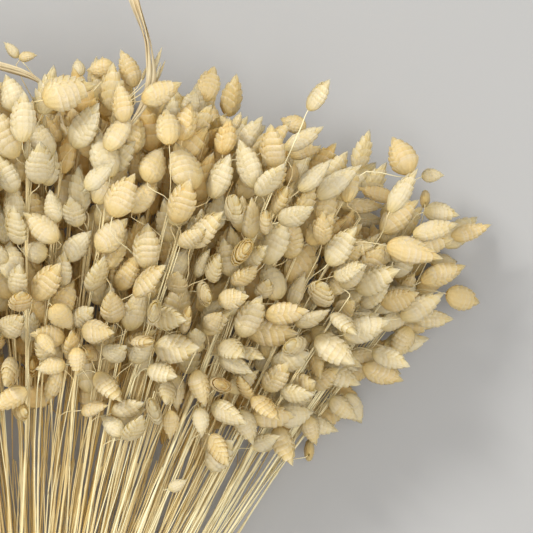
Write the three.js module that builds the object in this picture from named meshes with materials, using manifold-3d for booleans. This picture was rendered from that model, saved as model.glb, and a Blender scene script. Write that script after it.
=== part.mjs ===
// A dried, bleached bunch of greater quaking grass (Briza maxima), tied with twine and laid on a table.
// Millimetres. +Z is up and the table is z = 0. +Y runs from the cut ends to the heads, and +X is the side
// to which the wider half of the fan leans. Each tuft is two culms grown from one foot, with the heavy flat
// spikelets that nod on their thin stalks, and on a few a dried leaf. The tufts lie side by side in the tie.
import * as THREE from "three";
import { mergeVertices } from "three/addons/utils/BufferGeometryUtils.js";
import Module from "manifold-3d";

const wasm = await Module();
wasm.setup();

// Driving dimensions
const clearance = 0.3;
const culm = {
  halfWidth: 0.78, // of a four-sided culm in the tie, from side to side and from top to bottom
  halfHeight: 0.68,
  tipHalf: 0.6, // of both, at its last spikelet's stalk
  acrossPitch: 1.86, // between the culms' centres, where the tie holds them
  upPitch: 1.66,
  belowTie: 74, // from the tie to the cut ends
  fork: 12, // from a tuft's foot to where its culms lie apart
  flareAcross: 0.28, // how much wider than in the tie the cut ends spread
  flareUp: 0.2,
  cutLift: 2.4, // of the cut ends' middle over the tie's
  shortest: 292, // from the tie to the last spikelet's stalk, along the fan
  longest: 386,
};
const bundle = { radius: 10.5, rows: 6 };
const tie = {
  innerRadius: 11.9,
  grooveRadius: 13.5,
  turnRadius: 14.2,
  turns: 4,
  turnPitch: 3,
  sides: 12,
  pressed: 0.5, // how much of the lowest turn the table has pressed flat
};
const fan = {
  reference: 300,
  right: 0.62, // the slope of the outermost culm, to the right and to the left
  left: 0.47,
  spread: 0.85,
  curve: 1.22,
  shear: 24,
  shearCurve: 1.6,
  headAt: 340,
  floorGap: 7,
  height: 96,
  rise: 1.15,
};
// How far the draws move a culm: shares of its column, row and length, and millimetres at its cut end
const scatter = { rowShift: 0.618, across: 0.3, up: 0.6, shortness: 1.3, cut: 4 };
const spikelet = {
  flatness: 0.56,
  stalk: 0.5, // half of a stalk's width
  rootDepth: 0.2, // how far past its culm's middle a stalk is sunk
  rootReach: 1.3,
  zigzag: 0.12,
  archReach: 6, // how far before its neck a stalk arches, where it has to turn back
  tableReach: 8,
  pressed: 0.6,
};
// A spikelet's rings: where along it, and how wide
const spikeletRings = [
  [0.16, 0.84],
  [0.46, 1.0],
  [0.77, 0.6],
];
const leaf = { halfWidth: 2.8, halfThickness: 0.8, steps: 9 };
// How a seen spikelet finds its culm, and the ranges of the seeded ones
const seenReach = { back: 114, step: 6, nearest: 5, furthest: 56, lifts: [0, 4, -5, 8, -10, -16] };
const seenCost = { turning: 14, crowding: 4, side: 8 };
const seeded = {
  sidesPerCulm: 0.96,
  attempts: 120,
  apart: 27, // along the culm
  endOpening: [0.1, 0.6], // the angle between stalk and culm, in radians
  sideOpening: [0.5, 1.35],
  stalk: [6, 17],
  length: [14.5, 21.5],
  width: [0.48, 0.6], // as a share of the length
  alongStalk: 0.9,
  alongCulm: [0.3, 1.2],
  hangFrom: 325, // those nearer to the tie than this hang more and more, over the next stretch
  hangOver: 90,
  hang: 2.6,
};

// The photograph's frame laid over the bunch: its scale at one height, and the place of its middle
const photo = { mmPerPixel: 0.47, middle: 266.5, x: 115.9, y: 308.6, focusHeight: 55, cameraHeight: 950 };

// The spikelets that show best in the photograph: tip and base in its pixels, width in pixels, and height
// over the upper side of the fan in millimetres. One much shorter than its kind is seen from its end.
const seenSpikelets = [
  [394, 136, 409, 173, 28, -14],
  [444, 175, 422, 176, 14, -22],
  [417, 169, 390, 211, 19, -2],
  [418, 200, 382, 231, 24, 6],
  [427, 192, 425, 203, 17, -6],
  [459, 215, 425, 211, 20, -8],
  [457, 224, 414, 235, 20, 6],
  [491, 225, 452, 237, 17, 2],
  [358, 188, 393, 198, 15, -14],
  [384, 206, 342, 206, 16, -24],
  [385, 222, 352, 217, 16, -30],
  [442, 258, 388, 246, 26, 8],
  [465, 266, 422, 281, 22, 10],
  [481, 303, 447, 294, 26, 0],
  [444, 293, 402, 318, 22, 12],
  [391, 359, 410, 328, 22, 4],
  [381, 352, 347, 358, 16, 8],
  [357, 419, 331, 399, 20, 6],
  [316, 445, 308, 417, 18, 14],
  [310, 446, 309, 455, 21, 6],
  [344, 385, 367, 364, 18, 6],
  [314, 413, 277, 416, 25, 12],
  [253, 444, 240, 411, 21, 10],
  [202, 437, 200, 408, 16, 9],
  [170, 439, 171, 411, 16, 9],
  [205, 406, 196, 371, 20, 10],
  [187, 480, 169, 489, 12, 7],
  [101, 417, 123, 434, 18, 10],
  [103, 445, 133, 452, 22, 11],
  [36, 369, 65, 364, 17, 10],
  [77, 376, 77, 348, 16, 11],
  [55, 354, 39, 335, 15, 8],
  [-8, 410, 26, 390, 20, 10],
  [69, 330, 53, 306, 22, 11],
  [214, 66, 203, 101, 24, -50],
  [195, 89, 188, 117, 18, -44],
  [181, 83, 143, 101, 22, -18],
  [93, 83, 44, 100, 32, -6],
  [86, 70, 113, 66, 18, -36],
  [121, 50, 135, 86, 20, -26],
  [24, 92, 22, 141, 25, 6],
  [4, 42, 18, 57, 10, -46],
  [37, 55, 19, 58, 10, -46],
  [76, 58, 80, 76, 13, -50],
  [281, 118, 305, 128, 18, -40],
  [323, 127, 286, 149, 17, -26],
  [320, 147, 291, 156, 14, -34],
  [361, 165, 318, 197, 21, -10],
  [331, 160, 300, 190, 18, -8],
  [295, 163, 290, 185, 13, -20],
  [262, 117, 239, 150, 18, -22],
  [241, 112, 233, 130, 9, -34],
  [219, 115, 232, 131, 9, -32],
  [134, 174, 112, 215, 28, 14],
  [127, 219, 98, 250, 26, 14],
  [24, 213, 57, 240, 23, 13],
  [18, 249, 47, 254, 20, 12],
  [50, 190, 56, 222, 18, 9],
  [114, 163, 86, 188, 18, 12],
];

// Dried leaves: where each leaves its culm, the points that it passes, in millimetres, and its half turns.
const leaves = [
  { from: [60, 352, 92], through: [[62, 404, 96], [52, 440, 92], [58, 476, 84]], halfTurns: 3 },
  { from: [34, 368, 98], through: [[18, 395, 94], [-12, 409, 88], [-54, 420, 72]], halfTurns: 2 },
  { from: [-92, 300, 74], through: [[-122, 336, 76], [-152, 352, 66], [-176, 350, 50]], halfTurns: 2 },
];

// A repeatable draw from 0 to 1 for whole-number keys.
function draw(...keys) {
  let h = 0x811c9dc5;
  for (const key of keys) {
    h = Math.imul(h ^ (key + 0x9e3779b9), 0x01000193);
    h ^= h >>> 15;
    h = Math.imul(h, 0x85ebca6b);
    h ^= h >>> 13;
  }
  return (h >>> 0) / 4294967296;
}

const between = (low, high, t) => low + (high - low) * t;
const vector = (x, y, z) => new THREE.Vector3(x, y, z);
const moved = (from, direction, distance) => from.clone().addScaledVector(direction, distance);
const toward = (from, to) => to.clone().sub(from).normalize();

// The culms, in rows that fill the tie. Two neighbours in a row make a tuft.
function layOutCulms() {
  const culms = [];
  for (let row = -bundle.rows; row <= bundle.rows; row++) {
    const height = row * culm.upPitch;
    const halfRow = Math.sqrt(bundle.radius ** 2 - height ** 2);
    const pairs = Math.floor(halfRow / culm.acrossPitch + 0.5);
    for (let column = 0; column < 2 * pairs; column++) {
      culms.push(makeCulm(culms.length, row, (column - pairs + 0.5) * culm.acrossPitch, height));
    }
  }
  return culms;
}

// One culm: its place in the tie, its line of flow through the fan, and its stations.
function makeCulm(index, row, across, height) {
  const columnStep = culm.acrossPitch / bundle.radius;
  const rowStep = culm.upPitch / bundle.radius;
  const stagger = ((row + bundle.rows) * scatter.rowShift + 0.3) % 1;
  const u = across / bundle.radius + columnStep * (stagger - 0.5 + scatter.across * (draw(index, 1) - 0.5));
  const v = height / bundle.radius + rowStep * scatter.up * (draw(index, 2) - 0.5);
  const side = Math.sqrt(Math.max(0.05, 1 - u * u));
  const made = { index, across, height, v, twin: index % 2, sides: [], carried: 0 };
  made.slope = (u > 0 ? fan.right : -fan.left) * Math.abs(u) ** fan.spread;
  made.tieHeight = tieCentre() + height;
  made.headHeight = fan.floorGap + fan.height * ((0.95 * v + side) / 2 + 0.03);
  const reach = between(culm.longest, culm.shortest, draw(index, 3) ** scatter.shortness);
  const endY = reach / Math.sqrt(1 + made.slope ** 2);
  const startY = (made.twin ? culm.fork : scatter.cut * draw(index, 4)) - culm.belowTie;
  const loose = tieEdge() + 2;
  const stations = [startY, -loose, loose, 90, between(90, endY, 0.47), endY];
  made.stations = stations.map((y) => culmPoint(made, y));
  return made;
}

const tieCentre = () => tie.turnRadius * Math.cos(Math.PI / tie.sides) - tie.pressed;
const tieEdge = () => (tie.turns * tie.turnPitch) / 2;

// Where a culm runs at a distance y past the tie. No two of these lines cross.
function culmPoint(c, y) {
  const run = Math.max(0, y - tieEdge() - 2);
  const below = Math.max(0, -tieEdge() - 2 - y) / culm.belowTie;
  const lean = c.slope * fan.reference * (run / fan.reference) ** fan.curve;
  const sheared = fan.shear * c.v * (run / fan.headAt) ** fan.shearCurve;
  const lift = (run / fan.headAt) ** fan.rise;
  const flared = 1 + culm.flareAcross * below;
  const raised = (culm.flareUp * c.height + culm.cutLift) * below;
  const z = c.tieHeight * (1 - lift) + c.headHeight * lift + raised;
  return vector(c.across * flared + lean + sheared, y, z);
}

// The point and the direction of a culm's chain of straight lengths, at a distance back from its end.
function alongCulm(c, back) {
  const y = c.stations.at(-1).y - back;
  let i = 1;
  while (i < c.stations.length - 1 && c.stations[i].y < y) i++;
  const [a, b] = [c.stations[i - 1], c.stations[i]];
  return { point: a.clone().lerp(b, (y - a.y) / (b.y - a.y)), direction: toward(a, b) };
}

// The shortest distance between two straight lengths.
function lengthGap(p1, q1, p2, q2) {
  const d1 = q1.clone().sub(p1);
  const d2 = q2.clone().sub(p2);
  const r = p1.clone().sub(p2);
  const a = d1.dot(d1);
  const e = d2.dot(d2);
  const b = d1.dot(d2);
  const c = d1.dot(r);
  const f = d2.dot(r);
  const clamp = (t) => Math.min(1, Math.max(0, t));
  const denominator = a * e - b * b;
  let s = denominator > 1e-9 ? clamp((b * f - c * e) / denominator) : 0;
  const t = clamp((b * s + f) / e);
  s = clamp((b * t - c) / a);
  return moved(p1, d1, s).distanceTo(moved(p2, d2, t));
}

// Everything placed so far, as straight lengths with a radius, each with the culm that it belongs to.
const placed = [];

function boxOf([from, to, radius], gap) {
  return new THREE.Box3().setFromPoints([from, to]).expandByScalar(radius + gap);
}

function addLengths(owner, lengths) {
  for (const length of lengths) placed.push({ owner, length, box: boxOf(length, 0) });
}

// Whether lengths keep clear of all that is placed. The first grows from the culm root, which it may touch.
function isClear(root, lengths) {
  return lengths.every(([from, to, radius], i) => {
    const box = boxOf([from, to, radius], clearance);
    return placed.every((other) => {
      if ((i === 0 && other.owner === root) || !box.intersectsBox(other.box)) return true;
      const [otherFrom, otherTo, otherRadius] = other.length;
      return lengthGap(from, to, otherFrom, otherTo) > radius + otherRadius + clearance;
    });
  });
}

// A spikelet whose stalk grows from root, and whose broad faces look along facing.
function makeSpikelet(root, base, axis, facing, length, width) {
  const across = axis.clone().cross(facing).normalize();
  const through = across.clone().cross(axis);
  const arch = moved(base, axis, -Math.min(spikelet.archReach, 0.3 * length));
  const path = toward(root, base).dot(axis) < 0.2 ? [root, arch, base] : [root, base];
  const lengths = path.slice(1).map((point, i) => [path[i], point, spikelet.stalk]);
  lengths.push([moved(base, axis, 0.2 * length), moved(base, axis, 0.6 * length), 0.56 * width]);
  lengths.push([moved(base, axis, 0.6 * length), moved(base, axis, 0.96 * length), 0.3 * width]);
  return { path, base, axis, across, through, length, width, lengths };
}

function lowestPoint(s) {
  let lowest = s.base.z + s.axis.z * s.length;
  for (const [share, size] of spikeletRings) {
    const reach = (size * (1 + spikelet.zigzag) * s.width) / 2;
    const drop = Math.max(Math.abs(s.across.z), Math.abs(s.through.z) * spikelet.flatness) * reach;
    lowest = Math.min(lowest, s.base.z + s.axis.z * share * s.length - drop);
  }
  return lowest;
}

// A spikelet that comes close to the table lies on it, pressed a little flat.
function settle(s) {
  const lowest = lowestPoint(s);
  if (lowest > spikelet.tableReach) return s;
  const base = moved(s.base, vector(0, 0, 1), -lowest - spikelet.pressed);
  return makeSpikelet(s.path[0], base, s.axis, s.through, s.length, s.width);
}

// The height of the fan's upper side over a point of the table.
function fanTop(x, y) {
  const run = y - tieEdge() - 2;
  const slope = x / (fan.reference * (run / fan.reference) ** fan.curve);
  const u = Math.min(1, (Math.abs(slope) / (slope > 0 ? fan.right : fan.left)) ** (1 / fan.spread));
  const side = Math.sqrt(Math.max(0.05, 1 - u * u));
  const lift = (run / fan.headAt) ** fan.rise;
  const headHeight = fan.floorGap + fan.height * (0.975 * side + 0.03);
  return (tieCentre() + bundle.radius * side) * (1 - lift) + headHeight * lift;
}

// A point over the table, from a pixel of the photograph and its height.
function photoPoint(px, py, height) {
  const nearer = (photo.cameraHeight - height) / (photo.cameraHeight - photo.focusHeight);
  const scale = photo.mmPerPixel * nearer;
  return vector(photo.x + (px - photo.middle) * scale, photo.y + (photo.middle - py) * scale, height);
}

// A seen spikelet, hung from the end or the side of whichever culm reaches it best.
function placeSeen(culms, [tipX, tipY, baseX, baseY, widthPixels, overFan], lift) {
  const width = widthPixels * photo.mmPerPixel;
  let base = photoPoint(baseX, baseY, photo.focusHeight);
  for (let pass = 0; pass < 3; pass++) {
    base = photoPoint(baseX, baseY, fanTop(base.x, base.y) + overFan + lift);
  }
  const shown = photoPoint(tipX, tipY, base.z).sub(base);
  const length = Math.max(shown.length(), 1.55 * width);
  const drop = Math.sqrt(Math.max(0, length ** 2 - shown.lengthSq()));
  const axis = shown.clone().setZ(-drop).normalize();
  const facing = Math.abs(axis.z) > 0.9 ? vector(1, 0, 0) : vector(0, 0, 1);
  let best = null;
  for (const c of culms) {
    for (let back = c.end ? seenReach.step : 0; back <= seenReach.back; back += seenReach.step) {
      const { point, direction } = alongCulm(c, back);
      const distance = point.distanceTo(base);
      if (distance < seenReach.nearest || distance > seenReach.furthest) continue;
      const turned = 1 - toward(point, base).dot(direction);
      const crowded = seenCost.crowding * c.carried + (back ? seenCost.side : 0);
      const cost = distance + seenCost.turning * turned + crowded;
      if (best && cost >= best.cost) continue;
      const made = makeSpikelet(point, base, axis, facing, length, width);
      if (isClear(c.index, made.lengths)) best = { cost, made, c, atEnd: back === 0 };
    }
  }
  return best;
}

// One seeded try at an end spikelet, number 0, or at a side spikelet of a culm.
function trySpikelet(c, number, attempt) {
  const pick = (key) => draw(c.index, number, attempt, key);
  const atEnd = number === 0;
  const { point, direction } = alongCulm(c, atEnd ? 0 : seeded.apart * (number - 0.4 + 0.7 * pick(10)));
  const sideways = vector(0, 0, 1).cross(direction).normalize();
  const turn = 2 * Math.PI * pick(11);
  const open = between(...(atEnd ? seeded.endOpening : seeded.sideOpening), pick(12));
  const out = sideways.clone().multiplyScalar(Math.cos(turn));
  out.addScaledVector(direction.clone().cross(sideways), Math.sin(turn));
  const toBase = direction.clone().multiplyScalar(Math.cos(open)).addScaledVector(out, Math.sin(open));
  const base = moved(point, toBase, between(...seeded.stalk, pick(13)));
  const hanging = seeded.hang * Math.min(1, Math.max(0, (seeded.hangFrom - base.y) / seeded.hangOver));
  const axis = toBase.clone().multiplyScalar(seeded.alongStalk);
  axis.addScaledVector(direction, between(...seeded.alongCulm, pick(14)));
  axis.add(vector(1.1 * (pick(15) - 0.5), -hanging * pick(16), 0.9 * (pick(17) - 0.5))).normalize();
  const facing = vector(1.4 * (pick(18) - 0.5), 1.4 * (pick(19) - 0.5), 0.9);
  const length = between(...seeded.length, pick(20));
  const width = length * between(...seeded.width, pick(21));
  return settle(makeSpikelet(point, base, axis, facing, length, width));
}

// Whether a spikelet would lie in front of one that the photograph shows whole.
function hidesSeen(s, seen) {
  const middle = moved(s.base, s.axis, 0.45 * s.length);
  return seen.some((other) => {
    const target = moved(other.base, other.axis, 0.45 * other.length);
    const flat = Math.hypot(middle.x - target.x, middle.y - target.y);
    return middle.z > target.z - 2 && flat < 0.42 * (s.length + other.length);
  });
}

function hang(c, made, atEnd) {
  if (atEnd) c.end = made;
  else c.sides.push(made);
  c.carried += 1;
  addLengths(-1, made.lengths);
}

// Hangs every culm's spikelets: first those that the photograph shows whole, then the seeded ones.
function placeSpikelets(culms) {
  const seen = [];
  for (const entry of seenSpikelets) {
    let best = null;
    for (const lift of seenReach.lifts) best ??= placeSeen(culms, entry, lift);
    if (!best) continue;
    seen.push(best.made);
    hang(best.c, best.made, best.atEnd);
  }
  for (const c of culms) {
    const wanted = 1 + Math.floor(seeded.sidesPerCulm + draw(c.index, 5));
    for (let number = c.end ? 1 : 0; number < wanted && c.carried < wanted; number++) {
      for (let attempt = 0; attempt < seeded.attempts; attempt++) {
        const s = trySpikelet(c, number, attempt);
        if (hidesSeen(s, seen) || !isClear(c.index, s.lengths)) continue;
        hang(c, s, number === 0);
        break;
      }
    }
  }
}

// A closed geometry with its vertices merged and its empty triangles dropped.
function closedShell(geometry) {
  const bare = new THREE.BufferGeometry().setAttribute("position", geometry.getAttribute("position"));
  const merged = mergeVertices(bare.setIndex(geometry.index), 1e-4);
  const kept = [];
  for (let i = 0; i < merged.index.count; i += 3) {
    const [a, b, c] = [0, 1, 2].map((k) => merged.index.getX(i + k));
    if (a !== b && b !== c && c !== a) kept.push(a, b, c);
  }
  return merged.setIndex(kept);
}

function solidOf(geometry) {
  const shell = closedShell(geometry);
  const vertProperties = shell.attributes.position.array;
  const triVerts = new Uint32Array(shell.index.array);
  return new wasm.Manifold(new wasm.Mesh({ numProp: 3, vertProperties, triVerts }));
}

function geometryOf(solid) {
  const mesh = solid.getMesh();
  const geometry = new THREE.BufferGeometry();
  geometry.setAttribute("position", new THREE.BufferAttribute(mesh.vertProperties, 3));
  return geometry.setIndex(new THREE.BufferAttribute(mesh.triVerts, 1));
}

// A round stalk's ring at a point, with its corners turned towards facing.
function stalkRing(point, along, facing) {
  const through = moved(facing, along, -facing.dot(along)).normalize();
  const across = along.clone().cross(through);
  return ringOf(point, across, through, spikelet.stalk, spikelet.stalk, spikelet.stalk);
}

// A ring of a strand: its middle and its four corners, which go round from through to across.
function ringOf(middle, across, through, right, left, half) {
  const corners = [moved(middle, through, half), moved(middle, across, right)];
  corners.push(moved(middle, through, -half), moved(middle, across, -left));
  return { middle, corners, side: across };
}

// A slim closed body through rings of four corners, pointed at both ends: a lathed shape, its rings moved.
function strandSolid(start, rings, end) {
  const outline = [new THREE.Vector2(0, 0), ...rings.map((_, i) => new THREE.Vector2(1, i + 1))];
  outline.push(new THREE.Vector2(0, rings.length + 1));
  const shell = closedShell(new THREE.LatheGeometry(outline, 4));
  const position = shell.getAttribute("position");
  for (let i = 0; i < position.count; i++) {
    const level = Math.round(position.getY(i));
    const corner = Math.round(Math.atan2(position.getX(i), position.getZ(i)) / (Math.PI / 2) + 4) % 4;
    const place = level === 0 ? start : level > rings.length ? end : rings[level - 1].corners[corner];
    position.setXYZ(i, place.x, place.y, place.z);
  }
  return solidOf(shell);
}

// A culm's rings. Its top and sides keep their directions all the way.
function culmRings(c) {
  const last = c.stations.length - 1;
  return c.stations.map((point, i) => {
    const along = toward(c.stations[Math.max(0, i - 1)], c.stations[Math.min(last, i + 1)]);
    const across = along.clone().cross(vector(0, 0, 1)).normalize();
    const share = Math.max(0, (point.y - 10) / (c.stations[last].y - 10));
    const halfWidth = between(culm.halfWidth, culm.tipHalf, share);
    const halfHeight = between(culm.halfHeight, culm.tipHalf, share);
    return ringOf(point, across, across.clone().cross(along), halfWidth, halfWidth, halfHeight);
  });
}

// A spikelet's rings after its root: its stalk's bends, its neck, and bulges left and right by turns.
function spikeletRingsOf(s) {
  const rings = s.path.slice(1).map((point, i) => {
    const next = s.path[i + 2] ? toward(point, s.path[i + 2]) : s.axis;
    const along = toward(s.path[i], point).add(next).normalize();
    return stalkRing(point, along, Math.abs(s.through.dot(along)) > 0.94 ? s.across : s.through);
  });
  spikeletRings.forEach(([share, size], i) => {
    const lean = i % 2 ? spikelet.zigzag : -spikelet.zigzag;
    const reach = (size * s.width) / 2;
    const middle = moved(s.base, s.axis, share * s.length);
    const [right, left] = [reach * (1 + lean), reach * (1 - lean)];
    rings.push(ringOf(middle, s.across, s.through, right, left, reach * spikelet.flatness));
  });
  return rings;
}

// Turns later rings' corners so that they follow on from a culm's last ring with the least twist.
function followOn(rings, previous) {
  const turns = [0, 1, 2, 3];
  const fit = (turn) => toward(rings[0].middle, rings[0].corners[(1 + turn) % 4]).dot(previous.side);
  const turn = turns.reduce((best, t) => (fit(t) > fit(best) ? t : best), 0);
  return rings.map((ring) => ({ ...ring, corners: turns.map((k) => ring.corners[(k + turn) % 4]) }));
}

const tipOf = (s) => moved(s.base, s.axis, s.length);

// A culm with its end spikelet in one body, and the second culm's foot sunk in the first one's.
function culmSolid(c, first) {
  const rings = culmRings(c);
  const foot = c.twin ? culmPoint(first, 5 - culm.belowTie) : moved(c.stations[0], vector(0, -1, 0), 0.6);
  if (!c.end) return strandSolid(foot, rings, moved(c.stations.at(-1), vector(0, 1, 0), 2));
  return strandSolid(foot, [...rings, ...followOn(spikeletRingsOf(c.end), rings.at(-1))], tipOf(c.end));
}

function sideSolid(s) {
  const out = toward(s.path[0], s.path[1]);
  const neck = stalkRing(moved(s.path[0], out, spikelet.rootReach), out, s.through);
  const root = moved(s.path[0], out, -spikelet.rootDepth);
  return strandSolid(root, [neck, ...followOn(spikeletRingsOf(s), neck)], tipOf(s));
}

// Gives each dried leaf to the culm that passes nearest to its start.
function placeLeaves(culms) {
  for (const { from, through, halfTurns } of leaves) {
    const start = vector(...from);
    const nearest = (c) => alongCulm(c, Math.max(4, c.stations.at(-1).y - start.y)).point;
    const gap = (c) => nearest(c).distanceTo(start);
    const c = culms.reduce((best, other) => (gap(other) < gap(best) ? other : best));
    const curve = new THREE.CatmullRomCurve3([nearest(c), ...through.map((p) => vector(...p))]);
    c.leaf = { curve, halfTurns };
    const points = curve.getPoints(leaf.steps);
    addLengths(-1, points.slice(2).map((p, i) => [points[i + 1], p, leaf.halfWidth]));
  }
}

// A twisted blade that is broad in its middle and pointed at its end.
function leafSolid({ curve, halfTurns }) {
  const rings = [];
  for (let i = 0; i < leaf.steps; i++) {
    const t = i / leaf.steps;
    const along = curve.getTangentAt(t);
    const level = along.clone().cross(vector(0, 0, 1)).normalize();
    const across = level.applyAxisAngle(along, halfTurns * Math.PI * t);
    const half = leaf.halfWidth * Math.sin(Math.PI * between(0.15, 0.97, t)) ** 0.6;
    const through = across.clone().cross(along);
    rings.push(ringOf(curve.getPointAt(t), across, through, half, half, leaf.halfThickness));
  }
  return strandSolid(moved(curve.getPointAt(0), curve.getTangentAt(0), -2), rings, curve.getPointAt(1));
}

// The tie: turns of twine round the bundle, a knot on top and its two short ends.
function tieSolid() {
  const profile = [new THREE.Vector2(tie.innerRadius, -tieEdge())];
  for (let i = 0; i < tie.turns; i++) {
    profile.push(new THREE.Vector2(tie.grooveRadius, i * tie.turnPitch - tieEdge()));
    profile.push(new THREE.Vector2(tie.turnRadius, (i + 0.5) * tie.turnPitch - tieEdge()));
  }
  profile.push(new THREE.Vector2(tie.grooveRadius, tieEdge()));
  profile.push(new THREE.Vector2(tie.innerRadius, tieEdge()), profile[0].clone());
  const band = new THREE.LatheGeometry(profile, tie.sides, Math.PI / tie.sides).translate(0, 0, tieCentre());
  const top = tieCentre() + tie.turnRadius;
  const knot = new THREE.SphereGeometry(1, 8, 5).scale(4.2, 4.6, 2.6).translate(0, 0, top + 0.4);
  const ends = [-1, 1].map((side) => {
    const route = [[0, 0, 1], [5, -8, 2], [8, -16, 1.6]].map(([x, y, z]) => vector(side * x, y, top + z));
    const rings = route.map((p) => ringOf(p, vector(-0.9, 0.4 * side, 0), vector(0, 0, 1), 1.1, 1.1, 1));
    return strandSolid(moved(route[0], vector(0, 1, 0), 1), rings, vector(side * 9.5, -24, top + 0.4));
  });
  return wasm.Manifold.union([solidOf(band), solidOf(knot), ...ends]);
}

const straw = new THREE.MeshStandardMaterial({ color: 0xe3d3a4, roughness: 0.8, metalness: 0 });
const twine = new THREE.MeshStandardMaterial({ color: 0xb89a66, roughness: 0.95, metalness: 0 });

// What would reach under the table is pressed flat on it.
const underTable = solidOf(new THREE.BoxGeometry(2000, 2000, 100).translate(0, 0, -50));
const bunch = new THREE.Group();

function addNode(name, solids, material) {
  const mesh = new THREE.Mesh(geometryOf(wasm.Manifold.union(solids).subtract(underTable)), material);
  mesh.name = name;
  bunch.add(mesh);
}

const culms = layOutCulms();
for (const c of culms) {
  const lengths = c.stations.slice(1).map((point, i) => [c.stations[i], point, culm.halfWidth]);
  addLengths(c.index, lengths);
}
placeLeaves(culms);
placeSpikelets(culms);
for (let i = 0; i < culms.length; i += 2) {
  const own = [culms[i], culms[i + 1]];
  const solids = own.flatMap((c) => [culmSolid(c, culms[i]), ...c.sides.map(sideSolid)]);
  for (const c of own) if (c.leaf) solids.push(leafSolid(c.leaf));
  addNode(`tuft_${String(i / 2 + 1).padStart(2, "0")}`, solids, straw);
}
addNode("tie", [tieSolid()], twine);

// The middle of the bunch's footprint is the origin.
const middle = new THREE.Box3().setFromObject(bunch).getCenter(vector(0, 0, 0));
bunch.position.set(-middle.x, -middle.y, 0);

export default bunch;
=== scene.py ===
# A dried bunch of greater quaking grass, tied with twine and lying on a table.
# The layout works in millimetres in the bunch's own frame: y runs from the tie to the heads, z is up, and
# y = 0 is the middle of the tie. Pieces are moved into the model's frame, in metres, as they are made.
import math
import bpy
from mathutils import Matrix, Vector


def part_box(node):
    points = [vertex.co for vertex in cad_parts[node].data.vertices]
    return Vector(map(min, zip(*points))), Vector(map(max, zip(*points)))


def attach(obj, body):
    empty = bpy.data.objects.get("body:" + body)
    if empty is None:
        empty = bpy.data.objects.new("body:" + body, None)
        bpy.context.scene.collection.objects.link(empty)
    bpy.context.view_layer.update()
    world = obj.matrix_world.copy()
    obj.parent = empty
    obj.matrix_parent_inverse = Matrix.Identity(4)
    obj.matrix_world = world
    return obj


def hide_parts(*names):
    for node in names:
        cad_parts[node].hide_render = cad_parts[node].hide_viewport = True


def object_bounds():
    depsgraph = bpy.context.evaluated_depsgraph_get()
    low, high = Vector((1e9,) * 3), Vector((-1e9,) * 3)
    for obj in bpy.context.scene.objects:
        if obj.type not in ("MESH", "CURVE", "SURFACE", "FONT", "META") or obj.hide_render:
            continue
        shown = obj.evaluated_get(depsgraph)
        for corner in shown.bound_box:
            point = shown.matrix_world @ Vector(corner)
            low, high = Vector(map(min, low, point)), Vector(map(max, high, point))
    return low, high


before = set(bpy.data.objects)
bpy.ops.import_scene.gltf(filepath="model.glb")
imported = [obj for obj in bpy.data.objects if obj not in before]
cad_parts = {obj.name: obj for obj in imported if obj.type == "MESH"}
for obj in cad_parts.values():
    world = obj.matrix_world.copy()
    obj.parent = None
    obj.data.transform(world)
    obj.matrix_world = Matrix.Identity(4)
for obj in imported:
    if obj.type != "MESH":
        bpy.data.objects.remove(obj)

from types import SimpleNamespace

import bmesh
import bpy
import numpy as np
from mathutils import Matrix, Vector

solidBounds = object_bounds()
perMetre = 1000
fullTurn, nearTurn = 2 * math.pi, 6.28

# How the culms lie
culm = {
    "acrossPitch": 1.86,  # between the culms' middles, where the tie holds them
    "upPitch": 1.66, "halfWidth": 0.78,
    "belowTie": 74,  # from the tie to the cut ends
    "fork": 12,  # from a tuft's foot to where its two culms lie apart
    "flareAcross": 0.28, "flareUp": 0.2, "cutLift": 2.4, "shortest": 292, "longest": 386,
    "straight": 2,  # how far past the tie it still runs straight
    "bends": (90, 0.47),  # where a solid culm turns: its distance, and then a share of the rest
}
bundle = {"radius": 10.5, "rows": 6}
tie = {"turnRadius": 14.2, "turns": 4, "turnPitch": 3, "sides": 12, "pressed": 0.5}
fan = {
    "reference": 300,
    "right": 0.62,  # the slope of the outermost culm, to the right and to the left
    "left": 0.47, "spread": 0.85, "curve": 1.22, "shear": 24, "shearCurve": 1.6, "headAt": 340,
    "floorGap": 7, "height": 96, "rise": 1.15, "leastSide": 0.05,
    "rowShare": 0.95,  # how far a culm's height at the heads follows its row
    "topShare": 0.975, "bottom": 0.03,
}
scatter = {"rowStart": 0.3, "rowShift": 0.618, "across": 0.3, "up": 0.6, "shortness": 1.3, "cut": 4}
tieCentre = tie["turnRadius"] * math.cos(math.pi / tie["sides"]) - tie["pressed"]
tieEdge = tie["turns"] * tie["turnPitch"] / 2
tieLow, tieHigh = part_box("tie")
shift = np.array([(tieLow.x + tieHigh.x) / 2 * perMetre, tieHigh.y * perMetre - tieEdge, 0])  # into the model's frame


def draw(*keys):  # a repeatable number from 0 to 1 for whole-number keys
    h = 0x811C9DC5
    for key in keys:
        h = ((h ^ ((key + 0x9E3779B9) & 0xFFFFFFFF)) * 0x01000193) & 0xFFFFFFFF
        h ^= h >> 15
        h = (h * 0x85EBCA6B) & 0xFFFFFFFF
        h ^= h >> 13
    return h / 4294967296


def between(low, high, t):
    return low + (high - low) * t


def vec(x, y, z):
    return np.array([x, y, z], float)


def lengthOf(v):
    return math.sqrt(v @ v)


def unit(v):
    return v / lengthOf(v)


def cross(a, b):
    return vec(a[1] * b[2] - a[2] * b[1], a[2] * b[0] - a[0] * b[2], a[0] * b[1] - a[1] * b[0])


def around(a, b, angle):  # a direction turned from a toward b
    return a * math.cos(angle) + b * math.sin(angle)


def runs(points, radius):  # the straight lengths between points
    return [(a, b, radius) for a, b in zip(points, points[1:])]


up = vec(0, 0, 1)


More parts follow.
